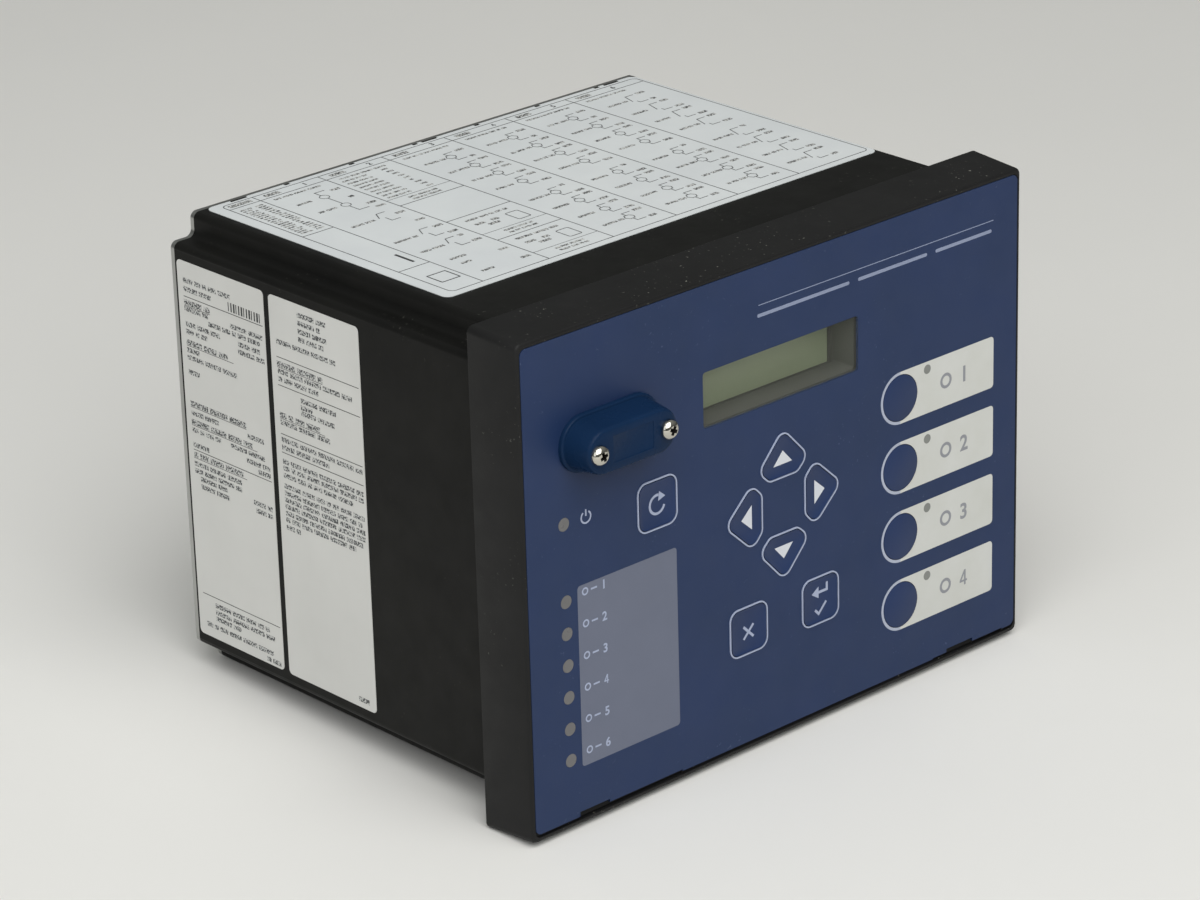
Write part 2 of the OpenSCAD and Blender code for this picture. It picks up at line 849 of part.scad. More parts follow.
module rear_serial_connector() {
  body_l = 11;
  color([0.6, 0.6, 0.62]) translate([rear_serial_x, rear_y, rear_serial_z])
    rotate([0, 0, 180]) rotate([0, 90, 0]) {
      d_connector(body_l);
      block([-8, 3, 5], [8, body_l, serial_x]);
    }
}

// Rear panel: bare sheet with the housing's outline and an opening for each connector
module rear_panel() {
  gap = 0.2;
  half = plug_h / 2 + 1.5 + gap;
  sx = card_x[1] + board_t / 2;
  color([0.75, 0.75, 0.74]) slab(rear_y, rear_out_y) difference() {
    housing_section(0);
    for (i = plug_cards) translate([card_x[i] + board_t / 2 - gap, -half])
      square([header_w + 2 * gap, 2 * half]);
    for (z = network_z) translate([sx - gap, z - 8 - gap]) square([13.4 + 2 * gap, 16 + 2 * gap]);
    translate([rear_serial_x, rear_serial_z]) rotate(90) {
      d_outline(18, 9.6, 2.3);
      for (s = [-1, 1]) translate([s * port_screw_x, 0]) circle(bore_r + 0.1);
    }
    for (s = [-1, 1], z = port_z) translate([s * port_x, z]) circle(bore_r + 0.2);
  }
}

module rear_panel_screws() {
  color("silver") for (s = [-1, 1], z = port_z) translate([s * port_x, 0, z])
    screw(rear_out_y, 10, -1);
}

// Ground terminal: a stepped stud that stands on the rear panel, with its washer and nut
module ground_terminal() {
  stud_r = 2.5;
  washer_t = 0.8;
  color("silver") translate([ground_at.x, 0, ground_at.y]) {
    slab(rear_out_y, ground_tip_y) circle(stud_r);
    slab(ground_tip_y, ground_tip_y + 7) circle(2);
    difference() {
      union() {
        slab(rear_out_y, rear_out_y + washer_t) circle(5);
        slab(rear_out_y + washer_t, rear_out_y + 4) circle(4.62, $fn = 6);
      }
      slab(rear_out_y - 1, rear_out_y + 5) circle(stud_r + 0.05);
    }
  }
}

// Paper label on top, notched where the housing's rear edge has slots
module top_label() {
  color([0.82, 0.85, 0.85]) difference() {
    translate([2.5, 79.1, body_h / 2]) linear_extrude(label_t) rounded_rect(165, 103.8, 2.5);
    rear_slots(1);
  }
}

module side_label(y0, y1) {
  color([0.78, 0.78, 0.76]) translate([-body_w / 2, (y0 + y1) / 2, 0]) rotate([0, -90, 0])
    linear_extrude(label_t) rounded_rect(115.4, y1 - y0, 1.5);
}

module side_label_rear() {
  side_label(91.8, 130.3);
}

module side_label_front() {
  side_label(51.1, 89.5);
}

chassis_sleeve();
front_bezel();
panel_gasket();
bezel_screws();
front_overlay();
display_window();
display_glass();
display_frame();
display_board();
display_standoffs();
key_up();
key_down();
key_left();
key_right();
key_escape();
key_enter();
key_reset();
push_button(0);  // push_button_1
push_button(1);  // push_button_2
push_button(2);  // push_button_3
push_button(3);  // push_button_4
key_switches();
status_light_pipe();
button_light_pipe();
lamp_label_card();
button_label_card();
port_cover();
port_cover_screws();
serial_connector();
serial_standoffs();
front_board();
front_board_screws();
interboard_connector();
backplane_board();
upper_card_guide();
lower_card_guide();
power_supply_card();
processor_card();
input_card();
analogue_card();
output_card_1();
output_card_2();
power_transformer();
power_capacitors();
output_relays();
terminal_plug(0);  // terminal_plug_1
terminal_plug(2);  // terminal_plug_2
terminal_plug(3);  // terminal_plug_3
terminal_plug(4);  // terminal_plug_4
terminal_plug(5);  // terminal_plug_5
terminal_screws();
network_sockets();
rear_serial_connector();
rear_panel();
rear_panel_screws();
ground_terminal();
top_label();
side_label_rear();
side_label_front();
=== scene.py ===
"""Looks of a panel-mounted protection relay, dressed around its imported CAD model.

Lengths are millimetres in the classes below and metres in Blender. The frame is the CAD's:
the origin is the middle of the panel cut-out, X runs to the right of somebody who faces the
front, Y runs to the back and Z runs up.
"""

import json
import logging
import math
from dataclasses import dataclass, field
from enum import Enum
from typing import Any, Callable, Sequence

import bmesh
import bpy
from mathutils import Matrix, Vector

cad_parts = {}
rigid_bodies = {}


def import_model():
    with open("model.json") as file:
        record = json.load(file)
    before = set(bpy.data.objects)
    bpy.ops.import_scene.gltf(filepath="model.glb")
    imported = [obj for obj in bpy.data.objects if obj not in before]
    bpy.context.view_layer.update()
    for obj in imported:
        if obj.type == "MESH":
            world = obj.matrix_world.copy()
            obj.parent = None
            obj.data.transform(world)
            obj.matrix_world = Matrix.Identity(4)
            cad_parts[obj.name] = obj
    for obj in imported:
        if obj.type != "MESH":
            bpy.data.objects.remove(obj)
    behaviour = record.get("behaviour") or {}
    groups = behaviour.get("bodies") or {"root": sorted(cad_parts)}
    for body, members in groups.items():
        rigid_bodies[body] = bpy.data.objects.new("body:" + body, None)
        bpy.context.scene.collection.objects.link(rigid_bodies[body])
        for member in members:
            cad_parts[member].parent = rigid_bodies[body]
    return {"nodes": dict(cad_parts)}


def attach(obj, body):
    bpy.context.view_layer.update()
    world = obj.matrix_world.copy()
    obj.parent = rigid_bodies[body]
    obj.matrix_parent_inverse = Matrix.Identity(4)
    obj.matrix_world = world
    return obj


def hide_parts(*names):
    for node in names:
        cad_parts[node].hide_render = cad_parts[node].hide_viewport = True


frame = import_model()

LOG = logging.getLogger("relay")
MM = 0.001
PRINT_T = 0.03
# Faces of a CAD node that meet at less than this many degrees become one
FLAT_ANGLE = 0.5
# How near a point has to be to an edge or level that is looked for
NEAR = 0.01
# Points closer than this become one
MERGE = 0.001
HOUSING_BODY = "housing"

Point = tuple[float, float]
Triple = tuple[float, float, float]


def linear_colour(hex_colour: str, alpha: float = 1.0) -> tuple[float, float, float, float]:
    """Turns an sRGB hex colour into the linear colour that a shader takes.

    Args:
        hex_colour: Six hex digits, with or without a leading hash.
        alpha: Opacity of the colour.

    Returns:
        Red, green, blue and alpha.
    """
    digits = hex_colour.lstrip("#")
    channels = [int(digits[i:i + 2], 16) / 255 for i in (0, 2, 4)]
    red, green, blue = [c / 12.92 if c <= 0.04045 else ((c + 0.055) / 1.055) ** 2.4 for c in channels]
    return red, green, blue, alpha


def per_metre(size_mm: float) -> float:
    """Scale of a pattern on Object coordinates whose features are size_mm apart."""
    return 1000 / size_mm


def add_node(tree: bpy.types.NodeTree, kind: str, inputs: dict[Any, Any] | None = None,
             **settings: Any) -> bpy.types.Node:
    """Adds a node to a material with its settings, values and links.

    Args:
        tree: Node tree of the material.
        kind: Blender's name for the node type.
        inputs: Value or source socket for each input, by name or number.
        settings: Properties of the node itself.

    Returns:
        The new node.
    """
    node = tree.nodes.new(kind)
    for name, value in settings.items():
        setattr(node, name, value)
    for key, value in (inputs or {}).items():
        if isinstance(value, bpy.types.NodeSocket):
            tree.links.new(value, node.inputs[key])
        else:
            node.inputs[key].default_value = value
    return node


class Texture(Enum):
    """How a surface was made, which decides its fine pattern."""

    MOULDED = "moulded"
    BRUSHED = "brushed"
    FILM = "film"
    PAPER = "paper"
    PLAIN = "plain"


# Size in mm of a speck of dust, of the patches that specks lie in, and of the smears of handling
SPECK_MM = 1.1
PATCH_MM = 22.0
SMEAR_MM = 8.0

# Size of the pattern in mm along X, Y and Z, and how deep it is in mm. The real grains are finer,
# and are drawn as coarse as they need to show.
TEXTURES: dict[Texture, tuple[Triple, float]] = {
    Texture.MOULDED: ((0.5, 0.5, 0.5), 0.012),
    Texture.BRUSHED: ((0.35, 12.0, 0.35), 0.006),
    Texture.FILM: ((0.35, 0.35, 0.35), 0.004),
    Texture.PAPER: ((0.7, 0.7, 0.7), 0.006),
    Texture.PLAIN: ((1.5, 1.5, 1.5), 0.002),
}


@dataclass(frozen=True)
class Finish:
    """One finish: what the surface is made of and what the eye sees of it.

    Colours are sRGB hex, lengths are millimetres. Soft clouds of the tone lie in the colour. Where
    stroke_mm is set, the backing shows between letter strokes of that size.
    """

    name: str
    colour: str
    tone: str
    texture: Texture = Texture.PLAIN
    roughness: float = 0.5
    metallic: float = 0.0
    ior: float = 1.5
    specular: float = 0.5
    opacity: float = 1.0
    cloud_mm: float = 25.0
    dust: str = ""
    dust_share: float = 0.0
    stroke_mm: float = 0.0
    backing: str = ""

    def build(self) -> bpy.types.Material:
        """Makes the material, or finds it where it was made before.

        Returns:
            The material.
        """
        made = bpy.data.materials.get(self.name)
        if made:
            return made
        material = bpy.data.materials.new(self.name)
        material.use_nodes = True
        tree = material.node_tree
        tree.nodes.clear()
        place = add_node(tree, "ShaderNodeTexCoord").outputs["Object"]
        colour = self._colour(tree, place)
        shader = add_node(tree, "ShaderNodeBsdfPrincipled", {
            "Base Color": colour, "Roughness": self._roughness(tree, place),
            "Normal": self._relief(tree, place), "Metallic": self.metallic,
            "Specular IOR Level": self.specular, "Alpha": self.opacity})
        if self.metallic < 0.5:
            shader.inputs["IOR"].default_value = self.ior
        add_node(tree, "ShaderNodeOutputMaterial", {"Surface": shader.outputs["BSDF"]})
        return material

    def _pattern(self, tree: bpy.types.NodeTree, place: bpy.types.NodeSocket, size_mm: Sequence[float],
                 source: Point = (0.0, 1.0), target: Point = (0.0, 1.0),
                 detail: float = 3.0) -> bpy.types.NodeSocket:
        """Lays out a noise pattern at its real size and spreads its values over a range.

        Args:
            tree: Node tree of the material.
            place: Socket with Object coordinates.
            size_mm: Size of a feature along X, Y and Z.
            source: Lowest and highest value of the noise that count.
            target: What they become.
            detail: How many finer layers the noise has.

        Returns:
            Socket with the pattern.
        """
        scale = [per_metre(size) for size in size_mm]
        spread = add_node(tree, "ShaderNodeMapping", {"Vector": place, "Scale": scale})
        noise = add_node(tree, "ShaderNodeTexNoise", {
            "Vector": spread.outputs["Vector"], "Scale": 1.0, "Detail": detail, "Roughness": 0.55})
        mapped = add_node(tree, "ShaderNodeMapRange", {
            "Value": noise.outputs["Fac"], "From Min": source[0], "From Max": source[1],
            "To Min": target[0], "To Max": target[1]})
        return mapped.outputs["Result"]

    def _colour(self, tree: bpy.types.NodeTree, place: bpy.types.NodeSocket) -> bpy.types.NodeSocket:
        """Colour with soft clouds of its second tone, letter strokes and dust where it has them.

        Args:
            tree: Node tree of the material.
            place: Socket with Object coordinates.

        Returns:
            Socket with the colour.
        """
        shares = [(self._pattern(tree, place, [self.cloud_mm] * 3, (0.3, 0.7)), self.tone)]
        if self.stroke_mm:
            strokes = self._pattern(tree, place, [self.stroke_mm] * 3, (0.44, 0.56), detail=0.0)
            shares.append((strokes, self.backing))
        if self.dust_share:
            shares.append((self._dust(tree, place), self.dust))
        colour: Any = linear_colour(self.colour)
        for share, tone in shares:
            laid = add_node(tree, "ShaderNodeMix", {0: share, 6: colour, 7: linear_colour(tone)},
                            data_type="RGBA")
            colour = laid.outputs[2]
        return colour

    def _dust(self, tree: bpy.types.NodeTree, place: bpy.types.NodeSocket) -> bpy.types.NodeSocket:
        """Share of dust: specks that lie in patches, more of them on what faces up.

        Args:
            tree: Node tree of the material.
            place: Socket with Object coordinates.

        Returns:
            Socket with the share.
        """
        specks = self._pattern(tree, place, [SPECK_MM] * 3, (0.68, 0.75), (0.0, self.dust_share), 2.0)
        patches = self._pattern(tree, place, [PATCH_MM] * 3, (0.45, 0.65), detail=1.0)
        facing = add_node(tree, "ShaderNodeTexCoord").outputs["Normal"]
        upward = add_node(tree, "ShaderNodeSeparateXYZ", {"Vector": facing}).outputs["Z"]
        settled = add_node(tree, "ShaderNodeMapRange", {
            "Value": upward, "From Min": 0.0, "From Max": 0.9, "To Min": 0.35, "To Max": 1.0})
        share = add_node(tree, "ShaderNodeMath", {0: specks, 1: patches}, operation="MULTIPLY").outputs[0]
        return add_node(tree, "ShaderNodeMath", {0: share, 1: settled.outputs["Result"]},
                        operation="MULTIPLY").outputs[0]

    def _roughness(self, tree: bpy.types.NodeTree, place: bpy.types.NodeSocket) -> bpy.types.NodeSocket:
        """Roughness that varies a little, as handling leaves it.

        Args:
            tree: Node tree of the material.
            place: Socket with Object coordinates.

        Returns:
            Socket with the roughness.
        """
        low, high = max(0.03, self.roughness - 0.05), min(1.0, self.roughness + 0.06)
        return self._pattern(tree, place, [SMEAR_MM] * 3, (0.3, 0.7), (low, high))

    def _relief(self, tree: bpy.types.NodeTree, place: bpy.types.NodeSocket) -> bpy.types.NodeSocket:
        """Fine relief of the way the surface was made.

        Args:
            tree: Node tree of the material.
            place: Socket with Object coordinates.

        Returns:
            Socket with the surface's normal.
        """
        sizes, depth = TEXTURES[self.texture]
        grain = self._pattern(tree, place, sizes)
        bump = add_node(tree, "ShaderNodeBump", {"Height": grain, "Distance": depth * MM, "Strength": 1.0})
        return bump.outputs["Normal"]


# Extruded aluminium, anodised black: dark, faintly brown, with a soft sheen along the extrusion
HOUSING_BLACK = Finish("black_anodised_aluminium", "#161614", "#111110", Texture.BRUSHED, 0.5,
                       specular=0.13, dust="#6a6a62", dust_share=0.3)
# Moulded frame with a fine satin grain that catches dust on its upper side
BEZEL_BLACK = Finish("black_moulded_polycarbonate", "#1d1d1d", "#191919", Texture.MOULDED, 0.5,
                     specular=0.18, dust="#94948a", dust_share=0.8)
# Polyester overlay film, printed from behind: matt fine texture, even dark blue
FILM_BLUE = Finish("blue_printed_polyester_film", "#1f3156", "#1d2f51", Texture.FILM, 0.45,
                   specular=0.28, dust="#7d8aa6", dust_share=0.5)
# The same film over a key, a touch lighter where it is drawn tight
KEY_BLUE = Finish("blue_key_film", "#21335a", "#1f3054", Texture.FILM, 0.45, specular=0.28)
# Pale lines and signs on the film
PALE_PRINT = Finish("pale_blue_print", "#a3acc4", "#9da6be", Texture.FILM, 0.5)
# Edge of the strips where the white is printed thinly over the blue
RING_WHITE = Finish("thin_white_print", "#acb3c4", "#a6adbf", Texture.FILM, 0.5)
# Fine lettering's own tone: thin strokes with blue between them
FINE_PRINT = Finish("fine_pale_print", "#8791ab", "#818ba5", Texture.FILM, 0.5)
# Opaque white of the arrow keys, the brightest print on the film
WHITE_PRINT = Finish("white_print", "#d3d6dc", "#cdd0d6", Texture.FILM, 0.5)
# Warm white field beside each round button, slightly uneven over its label card
STRIP_WHITE = Finish("white_strip_print", "#cdceca", "#c7c8c2", Texture.FILM, 0.5, cloud_mm=12)
# Mid grey marks on the white strips
STRIP_GREY = Finish("grey_strip_print", "#8f9196", "#888a90", Texture.FILM, 0.5)
# Clear window of the film over the grey label card behind it
LAMP_FIELD = Finish("clear_film_over_grey_card", "#63697b", "#606678", Texture.FILM, 0.4, cloud_mm=14)
# Cast acrylic, unlit: neutral grey and a little glossy, paler behind the white strips
LIGHT_PIPE = Finish("unlit_acrylic_light_pipe", "#6b6a6a", "#626161", Texture.PLAIN, 0.3, ior=1.49)
STRIP_LAMP = Finish("unlit_lamp_behind_white_film", "#828480", "#7a7c78", Texture.PLAIN, 0.35, ior=1.49)
# Polycarbonate window, nearly clear with a faint haze
WINDOW_CLEAR = Finish("clear_polycarbonate", "#787b70", "#74776c", Texture.PLAIN, 0.2, specular=0.3,
                      opacity=0.08)
# Liquid crystal glass, switched off: flat grey green
DISPLAY_GREEN = Finish("liquid_crystal_glass", "#9aa587", "#949f81", Texture.PLAIN, 0.35, cloud_mm=30)
# Stamped sheet frame of the display: black paint, coloured dark grey as painted light from the hazed window
FRAME_BLACK = Finish("black_painted_sheet", "#4a4a45", "#454540", Texture.PLAIN, 0.7)
# Inner walls of the display's opening: bare black moulding, coloured grey as painted light that comes in
# through the window
WELL_PAINTED_LIGHT = Finish("painted_light_display_well", "#5a5b56", "#555651", Texture.MOULDED, 0.75)
# Fibreglass board under green solder resist
BOARD_GREEN = Finish("green_solder_resist", "#1f5a3a", "#1a4d32", Texture.PLAIN, 0.35)
# Turned pillars: yellow metal with a fine lathe mark
BRASS = Finish("turned_brass", "#b89a52", "#ad8f49", Texture.BRUSHED, 0.3, metallic=1.0)
# Connector and switch bodies: satin black with soft edges to the light
PLASTIC_BLACK = Finish("black_nylon", "#1b1b1c", "#171718", Texture.MOULDED, 0.5)
# Slide-in label card: only its tab shows, in the notch at the film's lower edge, coloured near black as
# painted shade of the notch
CARD_PAINTED_SHADE = Finish("painted_shade_card_tab", "#161616", "#131313", Texture.PAPER, 0.7, specular=0.2)
# Dyed ABS cap: deep blue with a semi-gloss moulded skin
COVER_BLUE = Finish("blue_moulded_abs", "#122947", "#102540", Texture.MOULDED, 0.27, specular=0.07)
# Chrome plate: a mirror that picks up the softboxes and the dark film
CHROME = Finish("chrome_plated_steel", "#cbc8be", "#c0bcb1", Texture.PLAIN, 0.08, metallic=1.0)
# Bottom of a screw's cross recess: dull and dark, as painted shade
RECESS_PAINTED_SHADE = Finish("painted_shade_screw_recess", "#1c1a18", "#171513", Texture.PLAIN, 0.6, specular=0.2)
# Bright zinc plate: pale, faintly cloudy metal
ZINC = Finish("zinc_plated_steel", "#b9bbbd", "#adafb1", Texture.PLAIN, 0.3, metallic=1.0)
# Drawn and tinned sheet shell: grey metal, duller than zinc
CONNECTOR_TIN = Finish("tinned_connector_shell", "#b4b4b2", "#a9a9a7", Texture.PLAIN, 0.32, metallic=1.0)
# Undyed nylon: creamy white and waxy
GUIDE_WHITE = Finish("natural_nylon", "#d6d3c6", "#cdcabd", Texture.MOULDED, 0.55)
# Yellow polyester tape round the windings, smooth and slightly glossy
TRANSFORMER_TAPE = Finish("transformer_tape", "#b8a23c", "#a59135", Texture.PLAIN, 0.45)
# Shrunk sleeve of a capacitor: dark, smooth and glossy
CAPACITOR_SLEEVE = Finish("capacitor_sleeve", "#23233a", "#1e1e33", Texture.PLAIN, 0.35)
# Moulded case of a sealed relay: clear blue with a gloss
RELAY_CASE = Finish("blue_relay_case", "#2f5590", "#2a4d84", Texture.PLAIN, 0.35)
# Glass-filled polyamide of a terminal plug: dull green with a fine grain
PLUG_GREEN = Finish("green_polyamide", "#1d5a3c", "#184e33", Texture.MOULDED, 0.5)
# Plain sheet as rolled: faint lines and a cloudy shine
BARE_SHEET = Finish("rolled_aluminium_sheet", "#b7b8b6", "#a9aaa8", Texture.BRUSHED, 0.34, metallic=1.0)
# Polyester label stock, white and slightly glossy; the side labels are a warmer white
LABEL_TOP = Finish("white_polyester_label", "#dadede", "#d4d8d9", Texture.PAPER, 0.45)
LABEL_SIDE = Finish("side_polyester_label", "#d3d3cf", "#cdcdc9", Texture.PAPER, 0.5)
# Thermal print: black lines, and rows too small to read, drawn as broken grey strokes
INK = Finish("black_ink", "#37393a", "#333536", Texture.PAPER, 0.6)
INK_ROWS = Finish("small_print_rows", "#3f4142", "#4a4c4d", Texture.PAPER, 0.6, stroke_mm=0.55,
                  backing="#c4c5c2")
# Closed-cell foam strip: dead black, with no sheen
GASKET_RUBBER = Finish("foam_rubber", "#161616", "#121212", Texture.MOULDED, 0.85)
# Smooth seamless paper under and behind the object
STUDIO_PAPER = Finish("seamless_paper", "#e9e8e4", "#e6e5e1", Texture.PLAIN, 0.75, cloud_mm=400)

# CAD nodes of each finish
CAD_NODES: dict[Finish, str] = {
    GASKET_RUBBER: "panel_gasket",
    ZINC: (
        "bezel_screws serial_standoffs front_board_screws terminal_screws rear_panel_screws "
        "ground_terminal"),
    FILM_BLUE: "front_overlay",
    WINDOW_CLEAR: "display_window",
    DISPLAY_GREEN: "display_glass",
    FRAME_BLACK: "display_frame",
    BOARD_GREEN: (
        "display_board front_board backplane_board power_supply_card processor_card input_card "
        "analogue_card output_card_1 output_card_2"),
    BRASS: "display_standoffs",
    PLASTIC_BLACK: "key_switches interboard_connector",
    LIGHT_PIPE: "status_light_pipe",
    STRIP_LAMP: "button_light_pipe",
    # The label cards are coloured near black as painted shade in the notch
    CARD_PAINTED_SHADE: "lamp_label_card button_label_card",
    CONNECTOR_TIN: "serial_connector network_sockets rear_serial_connector",
    GUIDE_WHITE: "upper_card_guide lower_card_guide",
    TRANSFORMER_TAPE: "power_transformer",
    CAPACITOR_SLEEVE: "power_capacitors",
    RELAY_CASE: "output_relays",
    PLUG_GREEN: "terminal_plug_1 terminal_plug_2 terminal_plug_3 terminal_plug_4 terminal_plug_5",
    BARE_SHEET: "rear_panel",
    LABEL_TOP: "top_label",
    LABEL_SIDE: "side_label_rear side_label_front",
    HOUSING_BLACK: "chassis_sleeve",
    BEZEL_BLACK: "front_bezel",
    COVER_BLUE: "port_cover",
    CHROME: "port_cover_screws",
    KEY_BLUE: (
        "key_up key_down key_left key_right key_escape key_enter key_reset push_button_1 "
        "push_button_2 push_button_3 push_button_4"),
}


def deselect_all() -> None:
    """Leaves nothing selected, because an operator acts on all that is."""
    for each in bpy.context.view_layer.objects:
        each.select_set(False)


def make_active(obj: bpy.types.Object) -> None:
    """Selects one object alone and makes it the active one.

    Args:
        obj: The object.
    """
    deselect_all()
    obj.select_set(True)
    bpy.context.view_layer.objects.active = obj


def dress(obj: bpy.types.Object, finish: Finish) -> None:
    """Gives an object one finish all over."""
    obj.data.materials.clear()
    obj.data.materials.append(finish.build())


class Surface(Enum):
    """A surface that carries print, as the matrix from the print's own plane to the frame."""

    FRONT = Matrix(((1, 0, 0), (0, 0, -1), (0, 1, 0)))
    TOP = Matrix(((1, 0, 0), (0, 1, 0), (0, 0, 1)))
    LEFT = Matrix(((0, 0, -1), (-1, 0, 0), (0, 1, 0)))


def arc(centre: Point, r: float, start: float, end: float, steps: int = 12) -> list[Point]:
    """Points of an arc.

    Args:
        centre: Middle of the arc.
        r: Radius.
        start: Angle of the first point, in degrees.
        end: Angle of the last point, in degrees.
        steps: Number of straight pieces.

    Returns:
        The points, from start to end.
    """
    angles = [math.radians(start + (end - start) * i / steps) for i in range(steps + 1)]
    return [(centre[0] + r * math.cos(a), centre[1] + r * math.sin(a)) for a in angles]


def round_outline(centres: Sequence[Point], r: float) -> list[Point]:
    """Outline of a convex polygon with round corners, anticlockwise.

    Args:
        centres: Centre of each corner's arc, anticlockwise.
        r: Radius of the corners.

    Returns:
        The outline's points.
    """
    points: list[Point] = []
    count = len(centres)
    for i, centre in enumerate(centres):
        before, after = centres[i - 1], centres[(i + 1) % count]
        start = math.degrees(math.atan2(centre[1] - before[1], centre[0] - before[0])) - 90
        end = math.degrees(math.atan2(after[1] - centre[1], after[0] - centre[0])) - 90
        while end < start:
            end += 360
        points += arc(centre, r, start, end, 8)
    return points


def moved(points: Sequence[Point], by: Point) -> list[Point]:
    """Moves the points of an outline."""
    return [(x + by[0], z + by[1]) for x, z in points]


def rounded_box(low: Point, high: Point, r: float) -> list[Point]:
    """Outline of a rectangle with round corners, anticlockwise."""
    (x0, z0), (x1, z1) = low, high
    return round_outline([(x0 + r, z0 + r), (x1 - r, z0 + r), (x1 - r, z1 - r), (x0 + r, z1 - r)], r)


# Height of a figure and the thickening of its strokes, in parts of the letter size
FIGURE_SHARE = 0.72
BOLDNESS = 0.022

# Width of a letter of small print and of the gap between two words, in parts of its height
LETTER_SHARE = 0.62
GAP_SHARE = 0.55

# The figure four in parts of its height: stem, left and right of its bar, and slant
FOUR: tuple[tuple[Point, ...], ...] = (
    ((0.42, 0.0), (0.56, 0.0), (0.56, 1.0), (0.42, 1.0)),
    ((0.04, 0.22), (0.42, 0.22), (0.42, 0.35), (0.04, 0.35)),
    ((0.56, 0.22), (0.68, 0.22), (0.68, 0.35), (0.56, 0.35)),
    ((0.04, 0.35), (0.2, 0.35), (0.42, 0.73), (0.42, 1.0)),
)


@dataclass
class PrintLayer:
    """Flat print on one surface: shapes in the surface's own plane, raised a hair over it."""

    name: str
    surface: Surface
    level: float
    finish: Finish
    slot: str
    body: str = HOUSING_BODY
    thickness: float = PRINT_T
    faces: list[list[Point]] = field(default_factory=list)

    def shape(self, outline: Sequence[Point]) -> None:
        """Adds one filled shape."""
        self.faces.append(list(outline))

    def bar(self, low: Point, high: Point) -> None:
        """Adds a rectangle between two corners."""
        (x0, z0), (x1, z1) = low, high
        self.shape([(x0, z0), (x1, z0), (x1, z1), (x0, z1)])

    def disc(self, centre: Point, r: float, steps: int = 24) -> None:
        """Adds a filled circle."""
        self.shape(arc(centre, r, 0, 360, steps)[:-1])

    def circle(self, centre: Point, outer: float, inner: float, steps: int = 24) -> None:
        """Adds a round ring, or a ring with a few straight sides."""
        self.ring(arc(centre, outer, 0, 360, steps)[:-1], arc(centre, inner, 0, 360, steps)[:-1])

    def ring(self, outer: Sequence[Point], inner: Sequence[Point]) -> None:
        """Adds the band between two outlines that have as many points as each other.

        Args:
            outer: Points of the outer outline.
            inner: Points of the inner one, in the same order.
        """
        count = len(outer)
        for i in range(count):
            j = (i + 1) % count
            self.shape([outer[i], outer[j], inner[j], inner[i]])

    def stroke(self, points: Sequence[Point], width: float) -> None:
        """Adds a line of one width, with mitred corners.

        Args:
            points: Points of the line's middle.
            width: Width of the line.
        """
        sides: list[tuple[Point, Point]] = []
        path = [Vector(p) for p in points]
        for i, point in enumerate(path):
            before = (point - path[i - 1]).normalized() if i else None
            after = (path[i + 1] - point).normalized() if i < len(path) - 1 else None
            along = ((before or after) + (after or before)).normalized()
            across = Vector((-along.y, along.x))
            flat = after or before
            stretch = 1 / max(0.4, across.dot(Vector((-flat.y, flat.x))))
            offset = across * width / 2 * stretch
            sides.append((tuple(point + offset), tuple(point - offset)))
        for (a, b), (c, d) in zip(sides, sides[1:]):
            self.shape([b, d, c, a])

    def row(self, start: Point, end_x: float, height: float, seed: int) -> None:
        """Adds one row of small print as a row of word-long bars.

        Args:
            start: Left end of the row and the bottom of its letters.
            end_x: Right end of the row.
            height: Height of the letters.
            seed: Number that decides the lengths of the words.
        """
        x, z = start
        step = 0
        while x < end_x - height:
            step += 1
            letters = 2 + int(7 * abs(math.sin(12.9898 * seed + 78.233 * step)))
            stop = min(end_x, x + letters * height * LETTER_SHARE)
            self.bar((x, z), (stop, z + height))
            x = stop + height * GAP_SHARE

    def build(self) -> None:
        """Makes the mesh, gives it its thickness and puts it on its surface."""
        points: list[Triple] = []
        faces: list[list[int]] = []
        for outline in self.faces:
            faces.append(list(range(len(points), len(points) + len(outline))))
            points += [(x, z, -PRINT_T) for x, z in outline]
        mesh = bpy.data.meshes.new(self.name)
        mesh.from_pydata(points, [], faces)
        obj = bpy.data.objects.new(self.name, mesh)
        bpy.context.scene.collection.objects.link(obj)
        make_active(obj)
        bpy.ops.object.mode_set(mode="EDIT")
        bpy.ops.mesh.select_all(action="SELECT")
        bpy.ops.mesh.remove_doubles(threshold=MERGE)
        bpy.ops.mesh.extrude_region_move(TRANSFORM_OT_translate={"value": (0, 0, PRINT_T + self.thickness)})
        bpy.ops.mesh.select_all(action="SELECT")
        bpy.ops.mesh.normals_make_consistent(inside=False)
        bpy.ops.object.mode_set(mode="OBJECT")
        self._lay(obj, (0.0, 0.0))

    def numeral(self, text: str, at: Point, height: float) -> None:
        """Adds a plain figure, its left foot at a point.

        It is made from Blender's own letter shapes, apart from the four, which overlaps itself there
        once its strokes are made bolder.

        Args:
            text: The figure.
            at: Left end and bottom of the figure.
            height: Its height.
        """
        if text == "4":
            for outline in FOUR:
                self.shape([(at[0] + x * height, at[1] + z * height) for x, z in outline])
            return
        deselect_all()
        bpy.ops.object.text_add()
        obj = bpy.context.object
        obj.name = f"{self.name}_{text}_{len(bpy.data.objects)}"
        obj.data.body = text
        obj.data.size = height / FIGURE_SHARE
        obj.data.extrude = PRINT_T
        obj.data.offset = BOLDNESS * obj.data.size
        bpy.ops.object.convert(target="MESH")
        self._lay(obj, at)

    def _lay(self, obj: bpy.types.Object, at: Point) -> None:
        """Puts a flat piece on the surface and settles it there.

        Args:
            obj: The piece, in its own plane and in mm.
            at: Where its origin goes on the surface.
        """
        turn = self.surface.value
        place = turn @ Vector((at[0], at[1], self.level))
        obj.data.transform(Matrix.Translation(place * MM) @ turn.to_4x4() @ Matrix.Scale(MM, 4))
        settle(obj, self.finish, self.body)


